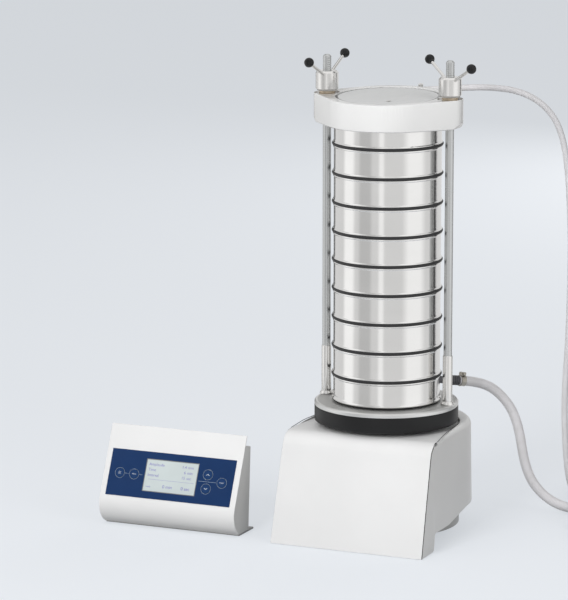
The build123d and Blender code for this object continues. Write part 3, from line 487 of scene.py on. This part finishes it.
def add_hose(name, body, points, size, nodes):
    curve = hose_curve(name, points)
    curve.bevel_depth = size / 2
    curve.bevel_resolution = 6
    curve.use_fill_caps = True
    curve.materials.append(silicone)
    hose = bpy.data.objects.new(name, curve)
    scene.collection.objects.link(hose)
    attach(hose, body)
    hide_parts(*nodes)


def hose_bore_shade(name, body, line, size):
    """A dark disc in a hose's cut end: painted shade inside the bore."""
    mesh = bmesh.new()
    bore = size * 1000 * 0.33
    end = facing(line[-1] * 1000, line[-1] - line[-2])
    lathe(mesh, [(0, 0), (bore, 0), (bore, 0.25, 0.1), (0, 0.25)], end, 40)
    return add_piece(name, body, dark, finished(mesh, name))


def coil_tie(name, body, line, centre, angle, size):
    """A soft strap drawn round the turns that pass one side of a coil."""
    out = Vector((math.cos(angle), math.sin(angle), 0))
    along = Vector((-math.sin(angle), math.cos(angle), 0))
    middle = Vector((*centre, 0))
    passes = []
    for a, b in zip(line, line[1:]):
        before, after = (a - middle).dot(along), (b - middle).dot(along)
        if before * after <= 0 and (a - middle).dot(out) > 0 and a.z < 0.06:
            spot = a.lerp(b, before / (before - after)) - middle
            passes.append(Vector((spot.dot(out), spot.z)))
    mesh = bmesh.new()
    rings = []
    count = 48
    half_width, inside, outside = 0.004, 0.0001, 0.0009
    for offset in (-half_width, half_width):
        for thick in (inside, outside):
            ring = []
            for s in range(count):
                turn = 2 * math.pi * s / count
                way = Vector((math.cos(turn), math.sin(turn)))
                spot = max(passes, key=way.dot) + way * (size / 2 + thick)
                ring.append(mesh.verts.new(
                    middle + out * spot.x + along * offset + up * max(0.00005, spot.y)))
            rings.append(ring)
    for a, b in ((0, 1), (1, 3), (3, 2), (2, 0)):
        for s in range(count):
            t = (s + 1) % count
            mesh.faces.new([rings[a][s], rings[a][t], rings[b][t], rings[b][s]])
    return add_piece(name, body, rubber, finished(mesh, name))


for word, body, start, route, centre, radius, size, turns, length in (
        ("outlet", "pan", outlet_start, outlet_route, (0.4307, 0.191), 0.105, 0.019, 1.5, 1.5),
        ("inlet", "cover", inlet_start, inlet_route, (0.330, 0.402), 0.066, 0.012, 2.1, 2.0)):
    points = [start] + route + coil_points(centre, route[-1], radius, size, turns)
    line = centre_line(points)
    tie = coil_tie(f"{word}_coil_tie", body, line, centre, math.radians(20), size)
    bore = hose_bore_shade(f"{word}_hose_bore_shade", body, line, size)
    add_hose("drain_hose" if word == "outlet" else "water_hose", body, points, size,
             [f"{word}_hose", f"{word}_hose_coil"])

# Sieve stack

stack_joint = 304.5
stack_pitch = 55.0
half_seal = 2.75


def add_sieve(number):
    joint = stack_joint + (9 - number) * stack_pitch
    top, low = joint + stack_pitch - half_seal, joint + half_seal
    cloth_low, cloth_top = joint + 9, joint + 10
    outline = [
        (0, cloth_low), (98, cloth_low), (98, joint - 8, 0.5), (99.4, joint - 8, 0.6), (99.4, low, 0.6),
        (103.4, low, 0.5), (103.4, low + 1.3, 0.6), (101.9, low + 3.2, 1.6), (101.5, low + 6, 1.5),
        (101.5, top - 4.2, 1.2), (102.0, top - 3.4, 0.8), (103.2, top - 2.6, 0.8), (103.2, top - 0.2, 1.2),
        (102.2, top, 0.6), (100, top, 0.5), (100, cloth_top, 1.5), (0, cloth_top),
    ]
    mesh = bmesh.new()
    lathe(mesh, outline, segments=144,
          zone=lambda r, z: int(r < 99 and cloth_low - 0.2 < z < cloth_top + 0.2))
    name = f"sieve_{number}"
    add_piece(name + "_turned", name, polished, finished(mesh, name), [name], [cloth])
    mesh = bmesh.new()
    lathe(mesh, [(99.8, joint - half_seal), (103.8, joint - half_seal, 1.5), (105.5, joint, 3),
                 (103.8, joint + half_seal, 1.5), (99.8, joint + half_seal)], segments=144)
    add_piece(f"seal_{number}_ring", name, rubber, finished(mesh, f"seal_{number}"), [f"seal_{number}"])


for number in range(1, 10):
    add_sieve(number)


def add_pan():
    foot, top = 256.0, stack_joint - half_seal
    mesh = bmesh.new()
    lathe(mesh, [
        (0, 284.5), (100, 272.5), (100, foot + 1.5), (88, foot + 1.5), (88, foot), (103.8, foot, 0.8),
        (103.8, foot + 2, 0.8), (102.0, foot + 4.5, 2), (101.5, foot + 7, 1.5), (101.5, top - 4.2, 1.2),
        (102.0, top - 3.4, 0.8), (103.2, top - 2.6, 0.8), (103.2, top - 0.2, 1.2), (102.2, top, 0.6),
        (100, top, 0.5), (100, 274, 2), (0, 286),
    ], segments=144)
    add_piece("receiver_pan_turned", "pan", polished, finished(mesh, "receiver_pan"), ["receiver_pan"])


add_pan()

# Drain fitting

outlet_turn, outlet_fall = math.radians(52), math.radians(8)
outlet_flat = Vector((math.cos(outlet_turn), math.sin(outlet_turn), 0))
outlet_out = outlet_flat * math.cos(outlet_fall) - up * math.sin(outlet_fall)
outlet_tip = outlet_flat * 160 + up * 272


def on_outlet(distance):
    return facing(outlet_tip + outlet_out * (distance - 160), outlet_out)


def worm_clamp(name, body, place, bore, width, lift, thick=1.6):
    """A hose clamp: grooved band, raised worm housing and a round screw with a recess in its end."""
    mesh = bmesh.new()
    half = width / 2
    lathe(mesh, [(bore, -half), (bore + thick, -half, 0.3), (bore + thick * 0.8, -half * 0.6),
                 (bore + thick * 0.8, half * 0.6), (bore + thick, half, 0.3), (bore, half)], place, 96)
    base, top = bore + thick - 0.6, bore + thick - 0.8 + lift
    corners = [(-4.5, base), (4.5, base), (4.5, top, 2.2), (-4.5, top, 2.2)]
    points = rounded(corners, 5)
    sides = []
    for z in (-half - 0.4, half + 0.4):
        sides.append([mesh.verts.new(place @ (Vector((x, y, z)) / 1000)) for x, y in points])
    for s in range(len(points)):
        t = (s + 1) % len(points)
        mesh.faces.new([sides[0][s], sides[0][t], sides[1][t], sides[1][s]])
    mesh.faces.new(sides[0])
    mesh.faces.new(sides[1])
    screw = place @ Matrix.Translation(Vector((0, base + 0.2 + lift / 2, 0)) / 1000) @ Matrix.Rotation(
        math.pi / 2, 4, "Y")
    lathe(mesh, [(0, -7.5), (2.6, -7.5, 0.5), (2.6, 7.4, 0.6), (1.2, 7.4), (1.0, 6.6), (0, 6.6)], screw, 32)
    return add_piece(name, body, clamp_steel, finished(mesh, name))


def add_outlet():
    mesh = bmesh.new()
    start = 100.05 - 160
    outline = [(5, start), (7, start, 0.3), (7, -17, 0.5)]
    for k in range(4):
        ring = -2 - (3 - k) * 4
        outline += [(9.6, ring - 1.2, 0.4), (9.6, ring + 0.2, 0.3), (7.2, ring + 1.4, 0.3)]
    outline += [(7, 0, 0.3), (5, 0)]
    lathe(mesh, outline, facing(outlet_tip, outlet_out), 64)
    add_piece("drain_spout", "pan", pipe_grey, finished(mesh, "drain_spout"), ["outlet_fitting"])
    worm_clamp("drain_hose_clamp", "pan", on_outlet(167), 9.55, 10, 6)


add_outlet()

# Vibrating table and rods

def add_table():
    mesh = bmesh.new()
    lathe(mesh, [
        (0, 231.6), (128, 231.6), (128, 214, 1), (137, 214, 2), (137, 243.6, 1.6), (0, 243.6),
    ], segments=160)
    add_piece("table_disc_turned", "table", black, finished(mesh, "table_disc"), ["table_disc"])
    mesh = bmesh.new()
    lathe(mesh, [
        (0, 243.65), (136.2, 243.65), (137, 244.4, 0.5), (137, 249.6, 0.5), (134.6, 252, 0.8),
        (131.5, 252, 0.3), (131, 251.7, 0.3), (0, 251.7),
    ], segments=160, zone=lambda r, z: int(r > 131.2))
    add_piece("table_plate_turned", "table", satin_plate, finished(mesh, "table_plate"), ["table_plate"],
              [rim_steel])
    mesh = bmesh.new()
    lathe(mesh, [(88, 251.8), (98, 251.8, 1), (98, 256, 1), (88, 256)], segments=128)
    add_piece("pan_gasket_ring", "table", rubber, finished(mesh, "pan_gasket"), ["pan_gasket"])


add_table()

rod_x = 124.35
rod_radius = 8
rod_foot, thread_low, thread_top = 229.6, 812, 901.5
thread_pitch, thread_depth = 4, 0.4
rod_segments = 32


def skin(mesh, rings):
    """Joins rings of the same number of points with faces."""
    for low, high in zip(rings, rings[1:]):
        for s in range(len(low)):
            t = (s + 1) % len(low)
            mesh.faces.new([low[s], low[t], high[t], high[s]])


def threaded(mesh, place, steps=8):
    """The rod's right-hand thread, fading in and out at its ends."""
    rows = int(round((thread_top - thread_low) / thread_pitch * steps))
    rings = []
    for row in range(rows + 1):
        height = thread_low + (thread_top - thread_low) * row / rows
        fade = min(1, min(height - thread_low, thread_top - height) / (0.6 * thread_pitch))
        ring = []
        for s in range(rod_segments):
            turn = 2 * math.pi * s / rod_segments
            phase = (height / thread_pitch - s / rod_segments) % 1
            flank = min(1, max(0, (abs(phase - 0.5) - 0.12) / 0.26))
            r = rod_radius - thread_depth * (1 - flank) * max(0, fade)
            spot = Vector((r * math.cos(turn), r * math.sin(turn), height)) / 1000
            ring.append(mesh.verts.new(place @ spot))
        rings.append(ring)
    return rings


def add_rods():
    mesh = bmesh.new()
    for side in (-1, 1):
        place = Matrix.Translation((side * rod_x / 1000, 0, 0))
        plain = [circle(mesh, place, rod_radius, height, rod_segments) for height in (rod_foot, thread_low)]
        thread = threaded(mesh, place)
        tip = [circle(mesh, place, radius, height, rod_segments)
               for radius, height in ((7.6, 902.4), (5.6, 904.6), (3.9, 905.7), (2, 906))]
        skin(mesh, plain)
        skin(mesh, thread + tip)
        mesh.faces.new(plain[0])
        mesh.faces.new(tip[-1])
    bmesh.ops.remove_doubles(mesh, verts=mesh.verts, dist=1e-6)
    add_piece("clamp_rods_turned", "table", ground, finished(mesh, "clamp_rods", 50), ["clamp_rods"])
    mesh = bmesh.new()
    for side in (-1, 1):
        place = Matrix.Translation((side * rod_x / 1000, 0, 0))
        lathe(mesh, [(8.05, 252), (12.5, 252, 0.5), (12.5, 254.5, 0.8), (10.6, 258, 0.8), (9.9, 259, 0.4),
                     (8.05, 259)], place, 64)
        lathe(mesh, [(8.05, 259), (9.3, 259, 0.3), (9.3, 346, 0.4), (8.5, 347, 0.3), (8.05, 347)], place, 64)
    add_piece("rod_sleeves_turned", "table", spun, finished(mesh, "rod_sleeves"), ["rod_sleeves"])


add_rods()

# Nuts, levers and knobs

lever_tilt = 24


def add_nut(word, side, azimuth):
    middle = Vector((side * rod_x, 0, 0))
    place = Matrix.Translation(middle / 1000)
    mesh = bmesh.new()
    lathe(mesh, [(8.1, 831), (15, 831, 0.4), (15, 836.4, 0.8), (14.2, 837, 0.3), (8.1, 837)], place, 64)
    add_piece(f"washer_{word}_turned", f"{word}_washer", bronze, finished(mesh, f"washer_{word}"),
              [f"washer_{word}"])
    mesh = bmesh.new()
    lathe(mesh, [
        (8.1, 837), (17.5, 837, 0.6), (21.5, 841, 1.6), (21.5, 871, 1.6), (18.2, 875, 1), (10, 875, 0.6),
        (8.3, 873.6),
    ], place, 96)
    knobs = bmesh.new()
    for turn in (azimuth, azimuth + 180):
        angle, tilt = math.radians(turn), math.radians(lever_tilt)
        flat = Vector((math.cos(angle), math.sin(angle), 0))
        out = flat * math.cos(tilt) + up * math.sin(tilt)
        root = middle + up * 867 + flat * 14
        axis = facing(root, out)
        lathe(mesh, [(0, 2), (3, 2), (3, 68), (0, 68)], axis, 32)
        lathe(knobs, [
            (0, 67), (4.5, 67, 0.8), (4.5, 70.5, 0.8), (5.4, 71.2), (8.2, 74), (9.45, 77.6, 3),
            (8.8, 81.6, 3), (6.6, 85, 3), (3.4, 87, 2), (0, 87.2),
        ], axis, 48, steps=3)
    add_piece(f"nut_{word}_turned", f"{word}_nut", spun, finished(mesh, f"nut_{word}"), [f"nut_{word}"])
    add_piece(f"knobs_{word}_balls", f"{word}_nut", ball, finished(knobs, f"knobs_{word}", 60),
              [f"knobs_{word}"])


add_nut("left", -1, -90)
add_nut("right", 1, -42)

# Dressed housings

def dress(name, material):
    """A CAD node keeps its shape and takes a finished material."""
    node_object = frame["nodes"][name]
    if not node_object.material_slots:
        node_object.data.materials.append(material)
    for place in node_object.material_slots:
        place.link = "OBJECT"
        place.material = material


refined("front_cover", 0.5, silver)
refined("side_shell", 0.9, white)
refined("base_tray", 1.2, tray_grey_as_painted_shade)
refined("clamp_bridge", 0.6, gloss_white)
refined("cover_lid", 0, lid_sheet)
refined("unit_front", 0.4, silver)
refined("unit_housing", 1.0, housing_grey_and_painted_shade)
refined("unit_foot", 0.4, foot_grey_and_painted_shade)
refined("keypad_membrane", 0.15, navy)
refined("display_window", 0.2, glass_grey)
for number in range(1, 6):
    refined(f"key_{number}", 0, key_navy)
for name, material in (
        ("rubber_feet", rubber), ("magnet_yoke", plated), ("magnet_coil", winding),
        ("rubber_buffers", rubber), ("rear_panel", dark), ("rocker_switch", ball),
        ("armature_column", plated), ("spray_nozzle", spun), ("water_inlet", spun), ("unit_board", laminate)):
    dress(name, material)

# Dark strips between the front cover and the shell, made as black rubber: painted shade of the seam

knee_centre = Vector((-116.1, 171.0))
knee_radius, lean = 35.0, 15.6
shell_half_width, draft, shoulder_start = 152.82, 1.0, 199
strip_foot, strip_proud, strip_depth = 1.3, 0.25, 0.9
strip_ahead, strip_behind = 0.45, 3.7
cover_corner = Vector((149.0, -112.0))
cover_rear_radius = 139.9
rim_shade_low, rim_shade_rise, rise_length, rim_shade_half = 206.3, 5.3, 52, 0.33


def heading(degrees):
    return Vector((math.cos(math.radians(degrees)), math.sin(math.radians(degrees))))


def prism(mesh, rows):
    """Joins rows of four corners, given in millimetres, into a bar."""
    made = [[mesh.verts.new(Vector(corner) / 1000) for corner in row] for row in rows]
    skin(mesh, made)
    mesh.faces.new(made[0])
    mesh.faces.new(made[-1])


def add_side_seam_shade(mesh, side):
    """A dark strip over the cut edge of the front cover, from the bench up and over the knee: painted shade
    of the seam.
    """
    first = 180 - lean
    knee = knee_centre + knee_radius * heading(first)
    edge = [(knee.x - (knee.y - strip_foot) * math.tan(math.radians(lean)), strip_foot, first)]
    for step in range(7):
        turn = first - step * (90 - lean) / 6
        spot = knee_centre + knee_radius * heading(turn)
        edge.append((spot.x, spot.y, turn))
    corners = [
        (strip_ahead, 0), (strip_behind, 0), (strip_behind, strip_depth), (strip_ahead, strip_depth)]
    rows = []
    for depth, height, turn in edge:
        inward = -heading(turn)
        face = shell_half_width - height * math.tan(math.radians(draft)) + strip_proud
        face -= 0.12 * max(0, height - shoulder_start)
        rows.append([
            (side * (face - inset), depth + inward.x * far, height + inward.y * far)
            for far, inset in corners])
    prism(mesh, rows)


def add_rim_seam_shade(mesh):
    """A thin dark bar along the inner edge of the shell's rim, round the back of the cover: painted shade of
    the seam.
    """
    reach = cover_corner.length
    touch = math.atan2(cover_corner.y, cover_corner.x) + math.acos(cover_rear_radius / reach)
    arrive = cover_rear_radius * Vector((math.cos(touch), math.sin(touch)))
    line = [cover_corner.lerp(arrive, step / 8) for step in range(9)]
    for step in range(1, 33):
        turn = touch + (math.pi - 2 * touch) * step / 32
        line.append(cover_rear_radius * Vector((math.cos(turn), math.sin(turn))))
    line += [Vector((-p.x, p.y)) for p in reversed(line[:8])]
    rows = []
    for i, spot in enumerate(line):
        along = (line[min(i + 1, len(line) - 1)] - line[max(i - 1, 0)]).normalized()
        out = Vector((along.y, -along.x)) * rim_shade_half
        top = rim_shade_low + rim_shade_rise * min(1, max(0, (spot.y - cover_corner.y) / rise_length))
        rows.append([
            (spot.x + out.x * s, spot.y + out.y * s, height)
            for s, height in ((-1, top - 1), (1, top - 1), (1, top), (-1, top))])
    prism(mesh, rows)


def add_seam_shade():
    mesh = bmesh.new()
    for side in (-1, 1):
        add_side_seam_shade(mesh, side)
    add_rim_seam_shade(mesh)
    data = finished(mesh, "cover_seam_shade")
    add_piece("cover_seam_shade", frame["nodes"]["front_cover"]["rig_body"], rubber, data)


add_seam_shade()

# Printing on the control unit

unit_origin = Vector((-370, -141, 188))
panel_turn = math.radians(24)
panel_down = Vector((0, -math.sin(panel_turn), -math.cos(panel_turn)))
panel_out = Vector((0, -math.cos(panel_turn), math.sin(panel_turn)))
display_middle = 94.5
print_thickness = 0.05


def on_panel(x, drop, depth):
    """A placement on the panel: across, down from the display's middle, and out of the face."""
    origin = unit_origin + Vector((x, 0, 0)) + panel_down * (display_middle + drop) + panel_out * depth
    return facing(origin, panel_out, (1, 0, 0))


def lettering(mesh, words, size, x, drop, depth, align="CENTER"):
    """Adds words, as flat solid letters of this height in millimetres, to a bmesh."""
    curve = bpy.data.curves.new("words", "FONT")
    curve.body = words
    curve.size = size / 1000 * 1.38
    curve.align_x = align
    curve.align_y = "CENTER"
    curve.space_line = 0.9
    curve.extrude = print_thickness / 2000
    holder = bpy.data.objects.new("words", curve)
    scene.collection.objects.link(holder)
    bpy.context.view_layer.update()
    shape = bpy.data.meshes.new_from_object(holder)
    shape.transform(on_panel(x, drop, depth))
    mesh.from_mesh(shape)
    bpy.data.objects.remove(holder)


def strip(mesh, left, right, drop, wide, depth):
    """Adds a printed line along X."""
    place = on_panel((left + right) / 2, drop, depth)
    sides = Matrix.Diagonal(((right - left) / 1000, wide / 1000, print_thickness / 1000, 1))
    bmesh.ops.create_cube(mesh, size=1, matrix=place @ sides)


def ring_print(mesh, radius, wide, x, drop, depth):
    inner = radius - wide
    outline = [(inner, 0), (radius, 0), (radius, print_thickness), (inner, print_thickness)]
    lathe(mesh, outline, on_panel(x, drop, depth), 64)


def add_printing():
    film, key_face = 1.0 + print_thickness / 2, 1.5 + print_thickness / 2
    lines = bmesh.new()
    strip(lines, -97.0, -88.5, 1.0, 0.5, film)
    strip(lines, -66.5, -60.5, 1.0, 0.5, film)
    strip(lines, 59.0, 96.0, 1.5, 0.5, film)
    for x, drop in ((-108, 1), (-77.5, 1), (76.5, -12.2), (76.5, 15.2), (107.5, 1)):
        ring_print(lines, 10.3, 0.45, x, drop, 1.0)
    add_piece("keypad_lines", "control_unit", line_blue, finished(lines, "keypad_lines"))
    bezel = bmesh.new()
    for left, right, drop, wide in (
            (-55.4, 55.4, -31.2, 1.4), (-55.4, 55.4, 31.2, 1.4), (-55.4, -54.0, 0, 61), (54.0, 55.4, 0, 61)):
        strip(bezel, left, right, drop, wide, 1.0 + print_thickness / 2)
    add_piece("display_bezel", "control_unit", bezel_grey, finished(bezel, "display_bezel"))
    text = bmesh.new()
    for words, size, x, drop, align in (
            ("Amplitude", 5.6, -49, -21.5, "LEFT"), ("1.4", 5.6, 30, -21.5, "RIGHT"),
            ("mm", 5.6, 33, -21.5, "LEFT"), ("Time", 5.6, -49, -11, "LEFT"), ("6", 5.6, 30, -11, "RIGHT"),
            ("min", 5.6, 33, -11, "LEFT"), ("Interval", 5.6, -49, -0.5, "LEFT"),
            ("15", 5.6, 30, -0.5, "RIGHT"), ("sec", 5.6, 33, -0.5, "LEFT"), ("ready", 3.2, -49, 22, "LEFT"),
            ("0 min", 6.6, -4, 20, "CENTER"), ("0 sec", 6.6, 34, 20, "CENTER")):
        lettering(text, words, size, x, drop, film, align)
    strip(text, -46, 50, 7.6, 0.4, film)
    add_piece("display_words", "control_unit", line_violet, finished(text, "display_words"))
    keys = (("ON\nOFF", 2.3, -108, 1), ("MENU", 2.3, -77.5, 1), (None, 0, 76.5, -12.2),
            (None, 0, 76.5, 15.2), ("START", 2.3, 107.5, 1))
    for number, (words, size, x, drop) in enumerate(keys, 1):
        mark = bmesh.new()
        if words:
            lettering(mark, words, size, x, drop, key_face)
        else:
            side = -1 if number == 3 else 1
            for lean in (-1, 1):
                place = on_panel(x + lean * 1.5, drop, key_face) @ Matrix.Rotation(side * lean * 0.7, 4, "Z")
                bmesh.ops.create_cube(mark, size=1, matrix=place @ Matrix.Diagonal(
                    (0.0046, 0.0008, print_thickness / 1000, 1)))
        add_piece(f"key_{number}_mark", f"key_{number}", line_white, finished(mark, f"key_{number}_mark"))


add_printing()

# Floor, light and surroundings

def seen_rays(nodes, links):
    """1 for camera, glossy and transmission rays, and 0 for the rays that carry light."""
    path = nodes.new("ShaderNodeLightPath")
    total = nodes.new("ShaderNodeMath")
    total.operation = "ADD"
    both = nodes.new("ShaderNodeMath")
    both.operation = "ADD"
    both.use_clamp = True
    links.new(path.outputs["Is Camera Ray"], total.inputs[0])
    links.new(path.outputs["Is Glossy Ray"], total.inputs[1])
    links.new(total.outputs[0], both.inputs[0])
    links.new(path.outputs["Is Transmission Ray"], both.inputs[1])
    return both.outputs[0]


def add_floor():
    """A pale floor: part of its white shows by itself, and the rest carries the object's shadow."""
    mesh = bpy.data.meshes.new("floor")
    half = 30
    corners = [(-half, -half, 0), (half, -half, 0), (half, half, 0), (-half, half, 0)]
    mesh.from_pydata(corners, [], [(0, 1, 2, 3)])
    material, shader = new_material("floor_white")
    nodes, links = material.node_tree.nodes, material.node_tree.links
    shader.inputs["Base Color"].default_value = (0.28, 0.285, 0.29, 1)
    shader.inputs["Roughness"].default_value = 0.9
    pale = node(material, "ShaderNodeBsdfDiffuse", [("Color", (0.34, 0.345, 0.355, 1))])
    glow = node(material, "ShaderNodeEmission", [("Color", (0.50, 0.525, 0.555, 1)), ("Strength", 1.0)])
    shown = node(material, "ShaderNodeAddShader")
    join(material, pale.outputs[0], shown.inputs[0])
    join(material, glow.outputs[0], shown.inputs[1])
    mixed = node(material, "ShaderNodeMixShader")
    join(material, seen_rays(nodes, links), mixed.inputs["Fac"])
    join(material, shader.outputs[0], mixed.inputs[1])
    join(material, shown.outputs[0], mixed.inputs[2])
    join(material, mixed.outputs[0], next(n for n in nodes if n.type == "OUTPUT_MATERIAL").inputs[0])
    mesh.materials.append(material)
    floor = bpy.data.objects.new("floor", mesh)
    floor.location.z = -0.0002
    scene.collection.objects.link(floor)


studio_level = 0.76
reflector_radius, reflector_height = 0.85, 2.2
# Each card's middle azimuth, half width and soft edge in degrees, and its brightness
cards = [
    (-154, 10, 8, 1.10), (-114, 10, 6, 0.58), (-80, 3, 4, 1.04), (-10, 14, 14, 1.05), (48, 6, 4, 0.08),
    (141, 4, 5, 0.05),
]


def add_reflector():
    """A ring of pale and dark studio cards round the object, which only its gloss sees."""
    mesh = bmesh.new()
    bmesh.ops.create_cone(
        mesh, segments=96, radius1=reflector_radius, radius2=reflector_radius, depth=reflector_height)
    caps = [f for f in mesh.faces if abs(f.normal.z) > 0.5]
    bmesh.ops.delete(mesh, geom=caps, context="FACES")
    for face in mesh.faces:
        face.smooth = True
    data = bpy.data.meshes.new("reflector")
    mesh.to_mesh(data)
    mesh.free()
    material, shader = new_material("reflector_cards")
    nodes = material.node_tree.nodes
    place = node(material, "ShaderNodeTexCoord")
    apart = node(material, "ShaderNodeSeparateXYZ")
    join(material, place.outputs["Object"], apart.inputs[0])
    turn = node(material, "ShaderNodeMath", operation="ARCTAN2")
    join(material, apart.outputs["Y"], turn.inputs[0])
    join(material, apart.outputs["X"], turn.inputs[1])
    ranged = node(material, "ShaderNodeMapRange", [("From Min", -math.pi), ("From Max", math.pi)])
    join(material, turn.outputs[0], ranged.inputs["Value"])
    stops = []
    for middle, half, edge, level in cards:
        reach = half + edge
        for offset, tone in ((-reach, studio_level), (-half, level), (half, level), (reach, studio_level)):
            stops.append(((middle + offset + 180) / 360, (tone, tone, tone)))
    tones = ramp(material, ranged.outputs["Result"], stops)
    glow = node(material, "ShaderNodeEmission", [("Strength", 1.0)])
    join(material, tones, glow.inputs["Color"])
    nodes.remove(shader)
    join(material, glow.outputs[0], next(n for n in nodes if n.type == "OUTPUT_MATERIAL").inputs[0])
    data.materials.append(material)
    ring = bpy.data.objects.new("reflector", data)
    ring.location.z = reflector_height / 2
    ring.visible_camera = False
    ring.visible_diffuse = False
    ring.visible_shadow = False
    ring.visible_transmission = False
    scene.collection.objects.link(ring)


def add_world():
    """White where it is seen, softer for the light itself."""
    world = bpy.data.worlds.new("studio")
    world.use_nodes = True
    scene.world = world
    nodes, links = world.node_tree.nodes, world.node_tree.links
    nodes.clear()
    output = nodes.new("ShaderNodeOutputWorld")
    mix = nodes.new("ShaderNodeMixShader")
    shown = nodes.new("ShaderNodeBackground")
    lit = nodes.new("ShaderNodeBackground")
    shown.inputs["Color"].default_value = (1, 1, 1, 1)
    shown.inputs["Strength"].default_value = 1
    lit.inputs["Color"].default_value = (1, 1, 1, 1)
    lit.inputs["Strength"].default_value = 0.42
    links.new(seen_rays(nodes, links), mix.inputs["Fac"])
    links.new(lit.outputs[0], mix.inputs[1])
    links.new(shown.outputs[0], mix.inputs[2])
    links.new(mix.outputs[0], output.inputs[0])


def add_lamp(name, place, aim, size, power):
    data = bpy.data.lights.new(name, "AREA")
    data.shape = "RECTANGLE"
    data.size, data.size_y = size
    data.energy = power
    lamp = bpy.data.objects.new(name, data)
    lamp.location = place
    lamp.rotation_euler = (Vector(aim) - Vector(place)).to_track_quat("-Z", "Y").to_euler()
    lamp.visible_glossy = False
    scene.collection.objects.link(lamp)


add_floor()
add_reflector()
add_world()
add_lamp("key", (-0.5, -4.9, 2.2), (0, 0, 0.4), (1.5, 2.5), 166)
add_lamp("fill", (4.5, -2.0, 2.0), (0, 0, 0.4), (2.5, 2.5), 52)
add_lamp("top", (-1.8, -1.4, 4.2), (0, 0, 0), (2.4, 2.4), 18)
add_lamp("back", (0.6, 5.0, 1.3), (0, 0, 0.4), (3.0, 2.0), 70)
scene.view_settings.view_transform = "Standard"
